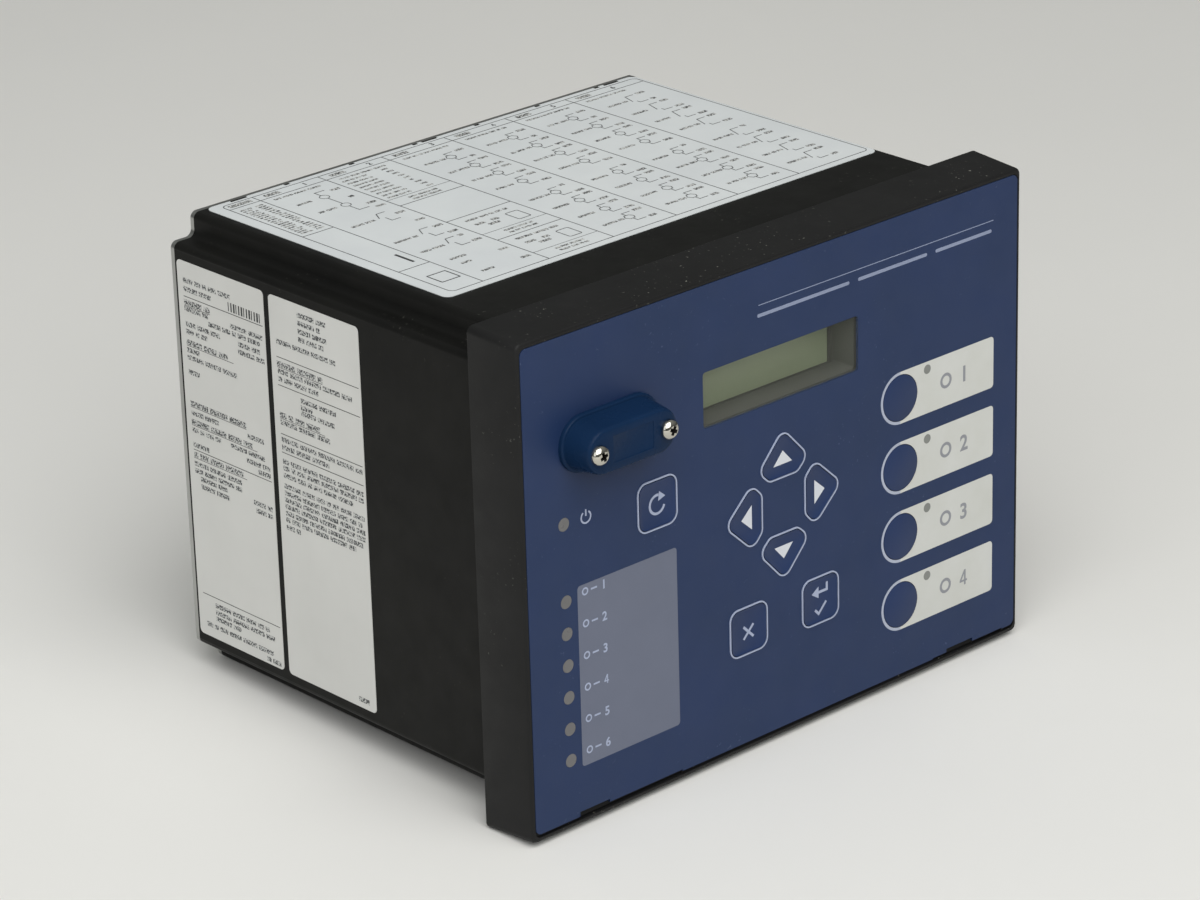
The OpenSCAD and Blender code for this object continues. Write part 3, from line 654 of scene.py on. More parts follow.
def settle(obj: bpy.types.Object, finish: Finish, body: str,
           stands_for: Sequence[str] = ()) -> None:
    """Dresses a finished piece and ties it to the CAD model.

    Args:
        obj: The piece, at the origin with its place in its mesh.
        finish: Its finish.
        body: CAD body that it rides on.
        stands_for: CAD nodes that it replaces.
    """
    dress(obj, finish)
    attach(obj, body)
    if stands_for:
        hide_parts(*stands_for)
    LOG.info("%s: %d faces on %s", obj.name, len(obj.data.polygons), body)


def refined_copy(node: str) -> bpy.types.Object:
    """Copies a CAD node as a new piece, with its loose triangles merged into clean faces.

    Args:
        node: Name of the CAD node.

    Returns:
        The new piece, which isn't dressed yet.
    """
    obj = bpy.data.objects.new(f"dressed_{node}", frame["nodes"][node].data.copy())
    bpy.context.scene.collection.objects.link(obj)
    make_active(obj)
    bpy.ops.object.mode_set(mode="EDIT")
    bpy.ops.mesh.select_all(action="SELECT")
    bpy.ops.mesh.remove_doubles(threshold=MERGE * MM)
    bpy.ops.mesh.dissolve_limited(angle_limit=math.radians(FLAT_ANGLE))
    bpy.ops.object.mode_set(mode="OBJECT")
    return obj


def bevel_edges(obj: bpy.types.Object, chosen: Callable[[Vector, Vector], bool], width: float,
                segments: int = 2) -> None:
    """Rounds the edges of a piece that a test picks by their place.

    Args:
        obj: The piece.
        chosen: Takes an edge's two ends in mm and says whether it is rounded.
        width: How far the rounding reaches from the edge, in mm.
        segments: Number of faces across the rounding.
    """
    make_active(obj)
    bpy.ops.object.mode_set(mode="EDIT")
    bpy.ops.mesh.select_all(action="DESELECT")
    bpy.ops.mesh.select_mode(type="EDGE")
    shape = bmesh.from_edit_mesh(obj.data)
    for edge in shape.edges:
        low, high = (v.co / MM for v in edge.verts)
        edge.select_set(bool(chosen(low, high)))
    bmesh.update_edit_mesh(obj.data)
    bpy.ops.mesh.bevel(offset=width * MM, segments=segments, affect="EDGES", clamp_overlap=True)
    bpy.ops.mesh.select_mode(type="VERT")
    bpy.ops.object.mode_set(mode="OBJECT")


def smooth(obj: bpy.types.Object, angle: float = 32.0) -> None:
    """Shades a piece smooth, apart from edges sharper than an angle in degrees."""
    make_active(obj)
    bpy.ops.object.shade_smooth_by_angle(angle=math.radians(angle))


def apply_modifier(obj: bpy.types.Object, kind: str, **settings: Any) -> None:
    """Adds a modifier with its settings and applies it.

    Args:
        obj: The piece.
        kind: Blender's name for the modifier type.
        settings: Properties of the modifier.
    """
    make_active(obj)
    modifier = obj.modifiers.new(kind.lower(), kind)
    for name, value in settings.items():
        setattr(modifier, name, value)
    bpy.ops.object.modifier_apply(modifier=modifier.name)


def cut(obj: bpy.types.Object, cutter: bpy.types.Object) -> None:
    """Takes the cutter's shape out of a piece and removes the cutter."""
    apply_modifier(obj, "BOOLEAN", operation="DIFFERENCE", solver="EXACT", object=cutter)
    bpy.data.objects.remove(cutter)


def place_in_mesh(obj: bpy.types.Object) -> None:
    """Moves a piece's place, turn and size into its mesh, so that its object sits at the origin."""
    make_active(obj)
    bpy.ops.object.transform_apply(location=True, rotation=True, scale=True)


@dataclass
class Housing:
    """Extruded sleeve with a groove along each corner."""

    width: float = 183.2
    height: float = 138.0
    rear: float = 131.2
    edge_bevel: float = 0.25

    def build(self) -> None:
        """Rounds the sleeve's cut rear edge and smooths its grooves."""
        obj = refined_copy("chassis_sleeve")
        bevel_edges(obj, lambda a, b: self._on_rear_edge(a) and self._on_rear_edge(b), self.edge_bevel)
        smooth(obj)
        settle(obj, HOUSING_BLACK, HOUSING_BODY, ["chassis_sleeve"])

    def _on_rear_edge(self, p: Vector) -> bool:
        """Says whether a point lies on the outer outline of the sleeve's rear end."""
        outer = abs(p.x) > self.width / 2 - 2 * NEAR or abs(p.z) > self.height / 2 - 2 * NEAR
        return outer and abs(p.y - self.rear) < NEAR


@dataclass
class Bezel:
    """Moulded front frame around the overlay film."""

    width: float = 192.0
    height: float = 144.0
    depth: float = 18.0
    spread: float = 1.0
    corner_r: float = 2.0
    front_bevel: float = 0.95
    back_bevel: float = 0.3
    well_low: Point = (-30.5, 28.5)
    well_high: Point = (30.5, 46.1)
    well_y: Point = (-17.0, -7.0)

    def build(self) -> None:
        """Rounds the frame's outer edges, in front and at the back, and paints the display's well grey as
        painted light.
        """
        obj = refined_copy("front_bezel")
        bevel_edges(obj, lambda a, b: self._on_rim(a, b, -self.depth), self.front_bevel, 4)
        bevel_edges(obj, lambda a, b: self._on_rim(a, b, 0), self.back_bevel, 2)
        smooth(obj)
        settle(obj, BEZEL_BLACK, HOUSING_BODY, ["front_bezel"])
        # The display well's walls get a grey that is painted light, not the moulding's own black
        obj.data.materials.append(WELL_PAINTED_LIGHT.build())
        for face in obj.data.polygons:
            face.material_index = int(self._in_well(face.center / MM))

    def _in_well(self, p: Vector) -> bool:
        """Says whether a point lies on the inner walls of the display's opening."""
        return (self.well_low[0] < p.x < self.well_high[0] and self.well_low[1] < p.z < self.well_high[1]
                and self.well_y[0] < p.y < self.well_y[1])

    def _on_rim(self, a: Vector, b: Vector, level: float) -> bool:
        """Says whether an edge runs along the outer outline at a level along Y."""
        return all(abs(p.y - level) < NEAR and self._outside(p) for p in (a, b))

    def _outside(self, p: Vector) -> bool:
        """Says whether a point lies on the frame's outer outline, which spreads towards the back.

        Args:
            p: The point, in mm.

        Returns:
            True where it does.
        """
        spread = self.spread * (p.y + self.depth) / self.depth
        u = abs(p.x) - self.width / 2 - spread + self.corner_r
        v = abs(p.z) - self.height / 2 - spread + self.corner_r
        reach = math.hypot(u, v) if u > 0 and v > 0 else max(u, v)
        return reach > self.corner_r - 5 * NEAR


@dataclass
class Overlay:
    """Printed film on the front, with the outlines of its keys, its lamp field and its strips."""

    level: float = 18.0
    ridge_h: float = 0.28
    ridge_inset: Point = (0.05, 0.49)
    key_w: float = 14.8
    key_r: float = 3.3
    square_keys: tuple[Point, ...] = ((-14.1, -35.4), (14.1, -35.4), (-47.6, 13.0))
    arrow_centre: Point = (0.0, -2.1)
    arrow_reach: float = 21.5
    arrow_r: float = 3.2
    arrow_foot: Point = (4.3, 7.0)
    arrow_shoulder: Point = (5.5, 5.9)
    button_at: Point = (46.7, 15.95)
    button_pitch: float = 21.24
    button_r: float = 7.0
    strip_r: float = 7.85
    strip_end: float = 85.2
    strip_corner: float = 1.2
    strip_lamp: Point = (57.7, 21.5)
    strip_lamp_r: float = 1.4
    strip_mark: Point = (65.4, -0.1)
    strip_mark_r: Point = (2.35, 1.45)
    strip_figure: Point = (71.3, -2.4)
    strip_figure_h: float = 4.8
    lamp_top: float = -5.0
    lamp_pitch: float = 9.36
    lamp_mark_rise: float = 1.0
    lamp_mark_x: float = -74.5
    lamp_mark_r: Point = (1.15, 0.7)
    lamp_dash: Point = (-72.4, -70.2)
    lamp_dash_half: float = 0.25
    lamp_figure: Point = (-68.6, -1.3)
    lamp_figure_h: float = 2.6
    field_low: Point = (-77.25, -55.11)
    field_high: Point = (-40.81, -1.88)
    field_r: float = 1.0
    rule_low: Point = (-8.5, 58.88)
    rule_high: Point = (84.8, 59.12)
    rule_bars: tuple[Point, ...] = ((-9.0, 26.5), (30.0, 57.5), (61.0, 84.0))
    rule_bar_z: Point = (55.5, 56.5)
    rule_bar_r: float = 0.45
    ready_sign: Point = (-73.4, 17.2)
    ready_sign_r: float = 1.7
    ready_sweep: Point = (125.0, 415.0)
    ready_stem: Point = (0.3, 2.2)
    ready_sign_line: float = 0.5

    def build(self) -> None:
        """Makes the film and all that is printed on it."""
        film = refined_copy("front_overlay")
        smooth(film)
        settle(film, FILM_BLUE, HOUSING_BODY, ["front_overlay"])
        self._ridges()
        self._strips()
        self._lamp_field()
        self._upper_lines()

    def _layer(self, name: str, finish: Finish, over: float = 0.0) -> PrintLayer:
        """Starts a print layer on the film, raised by a hair where it lies over another."""
        return PrintLayer(name, Surface.FRONT, self.level + over, finish, "overlay_film")

    def arrow_outline(self, turn: int, inset: float) -> list[Point]:
        """Outline of an arrow key.

        Args:
            turn: Direction of its tip, in quarter turns anticlockwise from up.
            inset: How far the outline is moved inwards.

        Returns:
            The outline's points.
        """
        tip = self.arrow_reach - self.arrow_r
        (foot, foot_drop), (wide, wide_drop) = self.arrow_foot, self.arrow_shoulder
        low, high = tip - foot_drop, tip - wide_drop
        corners = [(-foot, low), (foot, low), (wide, high), (0.0, tip), (-wide, high)]
        outline = round_outline(corners, self.arrow_r - inset)
        return [self.turned(p, turn) for p in outline]

    def turned(self, p: Point, turn: int) -> Point:
        """Turns a point round the middle of the arrow keys.

        Args:
            p: The point, measured from that middle.
            turn: Quarter turns anticlockwise.

        Returns:
            The turned point, measured from the frame's origin.
        """
        a = math.radians(90 * turn)
        x = self.arrow_centre[0] + p[0] * math.cos(a) - p[1] * math.sin(a)
        z = self.arrow_centre[1] + p[0] * math.sin(a) + p[1] * math.cos(a)
        return x, z

    def square_outline(self, at: Point, inset: float) -> list[Point]:
        """Outline of a square key around a point, moved inwards by inset."""
        half = self.key_w / 2 - inset
        return rounded_box((at[0] - half, at[1] - half), (at[0] + half, at[1] + half), self.key_r - inset)

    def _ridges(self) -> None:
        """Pale embossed line around each key."""
        lines = self._layer("key_frames", PALE_PRINT)
        for turn in range(4):
            lines.ring(*(self.arrow_outline(turn, inset) for inset in self.ridge_inset))
        for at in self.square_keys:
            lines.ring(*(self.square_outline(at, inset) for inset in self.ridge_inset))
        lines.thickness = self.ridge_h
        lines.build()

    def _strips(self) -> None:
        """White field around each round button, with its number and lamp."""
        white = self._layer("button_strips", STRIP_WHITE)
        rings = self._layer("button_rings", RING_WHITE)
        marks = self._layer("button_marks", STRIP_GREY, PRINT_T)
        lenses = self._layer("button_lamp_lenses", STRIP_LAMP, PRINT_T)
        for i in range(4):
            down = i * self.button_pitch
            x, z = self.button_at[0], self.button_at[1] - down
            rings.shape(arc((x, z), self.strip_r, 90, 270, 24) + arc((x, z), self.button_r, 270, 90, 24))
            end, corner_z = self.strip_end - self.strip_corner, self.strip_r - self.strip_corner
            rim = round_outline([(end, z - corner_z), (end, z + corner_z)], self.strip_corner)
            right = [p for p in rim if p[0] > end - MERGE]
            white.shape([(x, z - self.strip_r)] + right + [(x, z + self.strip_r)]
                        + arc((x, z), self.button_r, 90, -90, 24))
            marks.circle((self.strip_mark[0], z + self.strip_mark[1]), *self.strip_mark_r)
            marks.numeral(str(i + 1), (self.strip_figure[0], z + self.strip_figure[1]), self.strip_figure_h)
            lenses.disc((self.strip_lamp[0], self.strip_lamp[1] - down), self.strip_lamp_r)
        for layer in (white, rings, marks, lenses):
            layer.build()

    def _lamp_field(self) -> None:
        """Grey field beside the lamps, with a ring, a dash and a number for each."""
        backing = self._layer("lamp_field", LAMP_FIELD)
        backing.shape(rounded_box(self.field_low, self.field_high, self.field_r))
        backing.build()
        dots = self._layer("lamp_marks", PALE_PRINT, PRINT_T)
        for i in range(6):
            z = self.lamp_top - i * self.lamp_pitch + self.lamp_mark_rise
            dots.circle((self.lamp_mark_x, z), *self.lamp_mark_r, 20)
            dots.bar((self.lamp_dash[0], z - self.lamp_dash_half),
                     (self.lamp_dash[1], z + self.lamp_dash_half))
            dots.numeral(str(i + 1), (self.lamp_figure[0], z + self.lamp_figure[1]), self.lamp_figure_h)
        dots.build()

    def _upper_lines(self) -> None:
        """Rule across the top and the sign beside the ready lamp."""
        fine = self._layer("film_lines", FINE_PRINT)
        fine.bar(self.rule_low, self.rule_high)
        for start, end in self.rule_bars:
            fine.shape(rounded_box((start, self.rule_bar_z[0]), (end, self.rule_bar_z[1]), self.rule_bar_r))
        fine.build()
        signs = self._layer("film_signs", PALE_PRINT)
        x, z = self.ready_sign
        signs.stroke(arc((x, z), self.ready_sign_r, *self.ready_sweep, 24), self.ready_sign_line)
        signs.stroke([(x, z + rise) for rise in self.ready_stem], self.ready_sign_line)
        signs.build()


@dataclass
class Keypad:
    """Membrane keys: embossed caps with their signs, each moving with its own body."""

    overlay: Overlay
    cap_level: float = 18.15
    rim_level: float = 18.3
    face_level: float = 18.0
    rim_slope: float = 0.55
    edge_bevel: float = 0.12
    sign_line: float = 0.75
    arrow_sign: tuple[Point, ...] = ((-3.6, 12.2), (3.6, 12.2), (0.0, 16.2))
    cross_reach: float = 2.7
    cross_drop: float = 0.6
    enter_line: tuple[Point, ...] = ((2.7, 4.6), (2.7, 2.3), (-0.6, 2.3))
    enter_line_width: float = 0.8
    enter_head: tuple[Point, ...] = ((-3.3, 2.3), (-0.6, 0.5), (-0.6, 4.1))
    enter_tick: tuple[Point, ...] = ((-2.0, -2.8), (-0.6, -4.3), (2.4, -1.2))
    reset_r: float = 2.7
    reset_drop: float = 0.2
    reset_sweep: Point = (77.0, 345.0)
    reset_tip: float = 60.0
    reset_head: tuple[Point, ...] = ((-0.9, -1.5), (1.7, -0.6), (-0.5, 1.3))

    def build(self) -> None:
        """Makes every key's cap and its sign."""
        arrows = ("key_up", "key_left", "key_down", "key_right")
        for node in arrows + ("key_escape", "key_enter", "key_reset"):
            self._rimmed_cap(node)
        for i in range(4):
            self._flat_cap(f"push_button_{i + 1}")
        for turn, node in enumerate(arrows):
            self._arrow(node, turn)
        self._cancel_sign()
        self._enter_sign()
        self._reset_sign()

    def _rimmed_cap(self, node: str) -> None:
        """Sinks the face of one embossed cap, so that its rim stands over it.

        Args:
            node: CAD node of the key.
        """
        obj = refined_copy(node)
        front = -self.cap_level * MM
        bpy.ops.object.mode_set(mode="EDIT")
        bpy.ops.mesh.select_all(action="DESELECT")
        bpy.ops.mesh.select_mode(type="FACE")
        shape = bmesh.from_edit_mesh(obj.data)
        for face in shape.faces:
            face.select_set(all(abs(v.co.y - front) < NEAR * MM for v in face.verts))
        bmesh.update_edit_mesh(obj.data)
        bpy.ops.mesh.inset(thickness=self.rim_slope * MM)
        bpy.ops.transform.translate(value=(0, (self.cap_level - self.face_level) * MM, 0))
        bpy.ops.mesh.select_all(action="DESELECT")
        bpy.ops.mesh.select_mode(type="VERT")
        for vertex in shape.verts:
            vertex.select_set(abs(vertex.co.y - front) < NEAR * MM)
        bmesh.update_edit_mesh(obj.data)
        bpy.ops.transform.translate(value=(0, (self.cap_level - self.rim_level) * MM, 0))
        bpy.ops.object.mode_set(mode="OBJECT")
        smooth(obj, 20)
        settle(obj, KEY_BLUE, node, [node])

    def _flat_cap(self, node: str) -> None:
        """Rounds the front edge of one flat cap.

        Args:
            node: CAD node of the button.
        """
        obj = refined_copy(node)
        front = -self.cap_level
        bevel_edges(obj, lambda a, b: abs(a.y - front) < NEAR and abs(b.y - front) < NEAR, self.edge_bevel)
        smooth(obj)
        settle(obj, KEY_BLUE, node, [node])

    def _layer(self, node: str, finish: Finish = PALE_PRINT) -> PrintLayer:
        """Starts the print on one cap."""
        return PrintLayer(f"{node}_sign", Surface.FRONT, self.face_level, finish, "key_film", node)

    def _arrow(self, node: str, turn: int) -> None:
        """Prints the filled triangle that points the way of its key.

        Args:
            node: CAD node of the key.
            turn: Direction of its tip, in quarter turns anticlockwise from up.
        """
        sign = self._layer(node, WHITE_PRINT)
        sign.shape([self.overlay.turned(p, turn) for p in self.arrow_sign])
        sign.build()

    def _cancel_sign(self) -> None:
        """Cross on the escape key."""
        x, z = self.overlay.square_keys[0]
        sign = self._layer("key_escape")
        reach, half = self.cross_reach, self.sign_line / 2
        outline: list[Point] = []
        for arm in range(4):
            a = math.radians(45 + 90 * arm)
            for along, across in ((reach, -half), (reach, half), (half, half)):
                outline.append((x + along * math.cos(a) - across * math.sin(a),
                                z - self.cross_drop + along * math.sin(a) + across * math.cos(a)))
        sign.shape(outline)
        sign.build()

    def _enter_sign(self) -> None:
        """Return arrow over a tick on the enter key."""
        at = self.overlay.square_keys[1]
        sign = self._layer("key_enter")
        sign.stroke(moved(self.enter_line, at), self.enter_line_width)
        sign.shape(moved(self.enter_head, at))
        sign.stroke(moved(self.enter_tick, at), self.sign_line)
        sign.build()

    def _reset_sign(self) -> None:
        """Arrow in a circle on the reset key."""
        x, z = self.overlay.square_keys[2]
        z -= self.reset_drop
        sign = self._layer("key_reset")
        sign.stroke(arc((x, z), self.reset_r, *self.reset_sweep, 24), self.sign_line)
        a = math.radians(self.reset_tip)
        tip = (x + self.reset_r * math.cos(a), z + self.reset_r * math.sin(a))
        sign.shape(moved(self.reset_head, tip))
        sign.build()


@dataclass
class PortCover:
    """Moulded cover over the front port: lip, tapered cap and a sunken panel, with two screws."""

    at: Point = (-64.7, 38.9)
    face: float = 18.0
    height: float = 10.0
    lip: Point = (35.4, 16.4)
    lip_r: float = 8.0
    lip_wall: float = 0.9
    panel: Point = (14.5, 7.6)
    panel_depth: float = 0.18
    panel_bevel: float = 0.16
    screw_x: float = 12.5
    screw_turns: Point = (20.0, 65.0)

    def build(self) -> None:
        """Makes the cover and its screws."""
        settle(self._cap(), COVER_BLUE, HOUSING_BODY, ["port_cover"])
        screws = PanScrew()
        heads = [screws.head((self.at[0] + side * self.screw_x, -self.face - self.height, self.at[1]), turn)
                 for side, turn in zip((-1, 1), self.screw_turns)]
        deselect_all()
        for obj in heads:
            obj.select_set(True)
        joined = heads[0]
        bpy.context.view_layer.objects.active = joined
        bpy.ops.object.join()
        joined.name = "cover_screw_heads"
        settle(joined, CHROME, HOUSING_BODY, ["port_cover_screws"])
        # Faces in the cross recesses take a dark finish: painted shade
        joined.data.materials.append(RECESS_PAINTED_SHADE.build())
        for face in joined.data.polygons:
            face.material_index = int(self._in_recess(face.center / MM, screws))

    def _in_recess(self, p: Vector, screw: "PanScrew") -> bool:
        """Says whether a point lies in the cross recess of one of the two screws.

        Args:
            p: The point, in mm.
            screw: The screw's measures.

        Returns:
            True where it does.
        """
        off_axis = math.hypot(abs(p.x - self.at[0]) - self.screw_x, p.z - self.at[1])
        sunk = self.face + self.height + screw.head_h + p.y
        top, bottom = 3 * NEAR, screw.recess_depth + 10 * NEAR
        return off_axis < screw.recess_reach and top < sunk < bottom

    def _cap(self) -> bpy.types.Object:
        """Builds the cap from the lip's outline by insets that follow its section, in mm.

        Returns:
            The cover's mesh.
        """
        half_w, half_h = self.lip[0] / 2, self.lip[1] / 2
        outline = rounded_box((-half_w, -half_h), (half_w, half_h), self.lip_r)
        mesh = bpy.data.meshes.new("cover")
        mesh.from_pydata([(x, z, 0) for x, z in outline], [], [list(range(len(outline)))])
        obj = bpy.data.objects.new("port_cover_cap", mesh)
        bpy.context.scene.collection.objects.link(obj)
        make_active(obj)
        bpy.ops.object.mode_set(mode="EDIT")
        bpy.ops.mesh.select_all(action="SELECT")
        bpy.ops.mesh.remove_doubles(threshold=MERGE)
        bpy.ops.mesh.extrude_region_move(TRANSFORM_OT_translate={"value": (0, 0, self.lip_wall)})
        lip = [(0.1, 0.3), (0.22, 0.18), (0.45, 0.02)]
        root = [(0.08, 0.3), (0.1, 0.9)]
        wall = [(0.75, 6.1)]
        edge = [(0.1, 0.5), (0.18, 0.42), (0.24, 0.26), (0.32, 0.12)]
        for inward, forward in lip + root + wall + edge:
            bpy.ops.mesh.inset(thickness=inward, depth=forward, use_even_offset=True)
        bpy.ops.mesh.select_all(action="SELECT")
        bpy.ops.mesh.normals_make_consistent(inside=False)
        bpy.ops.object.mode_set(mode="OBJECT")
        self._sink_panel(obj)
        turn = Surface.FRONT.value.to_4x4()
        shift = Matrix.Translation(Vector((self.at[0], -self.face, self.at[1])) * MM)
        obj.data.transform(shift @ turn @ Matrix.Scale(MM, 4))
        smooth(obj, 40)
        return obj

    def _sink_panel(self, obj: bpy.types.Object) -> None:
        """Sinks the plain panel between the screws.

        Args:
            obj: The cover, in its own plane and in mm.
        """
        deselect_all()
        bpy.ops.mesh.primitive_cube_add(size=1, location=(0, 0, self.height),
                                        scale=(*self.panel, 2 * self.panel_depth))
        cutter = bpy.context.object
        place_in_mesh(cutter)
        apply_modifier(cutter, "BEVEL", width=self.panel_bevel, segments=2)
        cut(obj, cutter)


@dataclass
class PanScrew:
    """Pan head with a cross recess."""

    head_r: float = 2.8
    head_h: float = 2.17
    recess: Point = (3.9, 1.3)
    recess_depth: float = 1.7
    recess_reach: float = 1.32
    recess_taper: Point = (0.35, 0.6)
    dome: float = 1.5

    def head(self, at: Triple, turn: float) -> bpy.types.Object:
        """Builds one head that points to the front.

        Args:
            at: Middle of the head's seat, in mm.
            turn: Angle of its recess, in degrees.

        Returns:
            The head's mesh, in place.
        """
        deselect_all()
        bpy.ops.mesh.primitive_cylinder_add(vertices=40, radius=self.head_r, depth=self.head_h,
                                            location=(0, 0, self.head_h / 2))
        obj = bpy.context.object
        place_in_mesh(obj)
        bpy.ops.object.mode_set(mode="EDIT")
        bpy.ops.mesh.select_all(action="DESELECT")
        bpy.ops.mesh.select_mode(type="EDGE")
        shape = bmesh.from_edit_mesh(obj.data)
        for edge in shape.edges:
            edge.select_set(all(v.co.z > self.head_h - NEAR for v in edge.verts))
        bmesh.update_edit_mesh(obj.data)
        bpy.ops.mesh.bevel(offset=self.dome, segments=7, affect="EDGES", profile=0.42)
        bpy.ops.mesh.select_mode(type="VERT")
        bpy.ops.object.mode_set(mode="OBJECT")
        # The second bar is a little deeper, so that the two cuts share no face
        for angle, depth in ((turn, self.recess_depth), (turn + 90, self.recess_depth + 0.05)):
            cut(obj, self._wedge(angle, depth))
        spin = Matrix.Rotation(math.radians(90), 4, "X")
        obj.data.transform(Matrix.Translation(Vector(at) * MM) @ spin @ Matrix.Scale(MM, 4))
        smooth(obj, 35)
        return obj

    def _wedge(self, angle: float, depth: float) -> bpy.types.Object:
        """Makes the cutter of one bar of the cross recess, narrower at its bottom.

        Args:
            angle: Direction of the bar, in degrees.
            depth: Depth of the bar, in mm.

        Returns:
            The cutter.
        """
        deselect_all()
        bpy.ops.mesh.primitive_cube_add(size=1, location=(0, 0, self.head_h), scale=(*self.recess, 2 * depth))
        wedge = bpy.context.object
        place_in_mesh(wedge)
        for vertex in wedge.data.vertices:
            if vertex.co.z < self.head_h:
                vertex.co.x *= self.recess_taper[0]
                vertex.co.y *= self.recess_taper[1]
        wedge.data.transform(Matrix.Rotation(math.radians(angle), 4, "Z"))
        return wedge


@dataclass
class SideLabel:
    """Rating label on the left side: rules, headings and rows of print too small to read.

    Rules, headings and rows give a height, and where the print starts and ends. Codes give the
    lowest and highest height of a group of upright bars, its start, its end and its count.
    """

    name: str
    rear: float
    width: float
    rules: tuple[float, ...]
    headings: tuple[tuple[float, float], ...]
    rows: tuple[Triple, ...]
    codes: tuple[tuple[float, float, float, float, int], ...] = ()
    level: float = 91.75
    margin: float = 2.4
    end_margin: float = 0.8
    letter_h: float = 1.45
    heading_h: float = 1.6
    rule_half: float = 0.1
    underline: Point = (-1.15, -1.0)

    def build(self) -> None:
        """Prints the label."""
        lines = PrintLayer(f"{self.name}_rules", Surface.LEFT, self.level, INK, "label_paper")
        small = PrintLayer(f"{self.name}_rows", Surface.LEFT, self.level, INK_ROWS, "label_paper")
        left = -self.rear
        for z in self.rules:
            lines.bar((left + self.margin, z - self.rule_half),
                      (left + self.width - self.end_margin, z + self.rule_half))
        for z, end in self.headings:
            small.row((left + self.margin, z - self.heading_h / 2), left + end, self.heading_h, int(z * 7))
            lines.bar((left + self.margin, z + self.underline[0]), (left + end, z + self.underline[1]))
        for i, (z, start, end) in enumerate(self.rows):
            small.row((left + start, z - self.letter_h / 2), left + end, self.letter_h, i + int(start))
        for low, high, start, end, count in self.codes:
            pitch = (end - start) / count
            for i in range(count):
                x = left + start + i * pitch
                lines.bar((x, low), (x + pitch * (0.3 + 0.3 * (i * 7 % 3) / 2), high))
        lines.build()
        small.build()


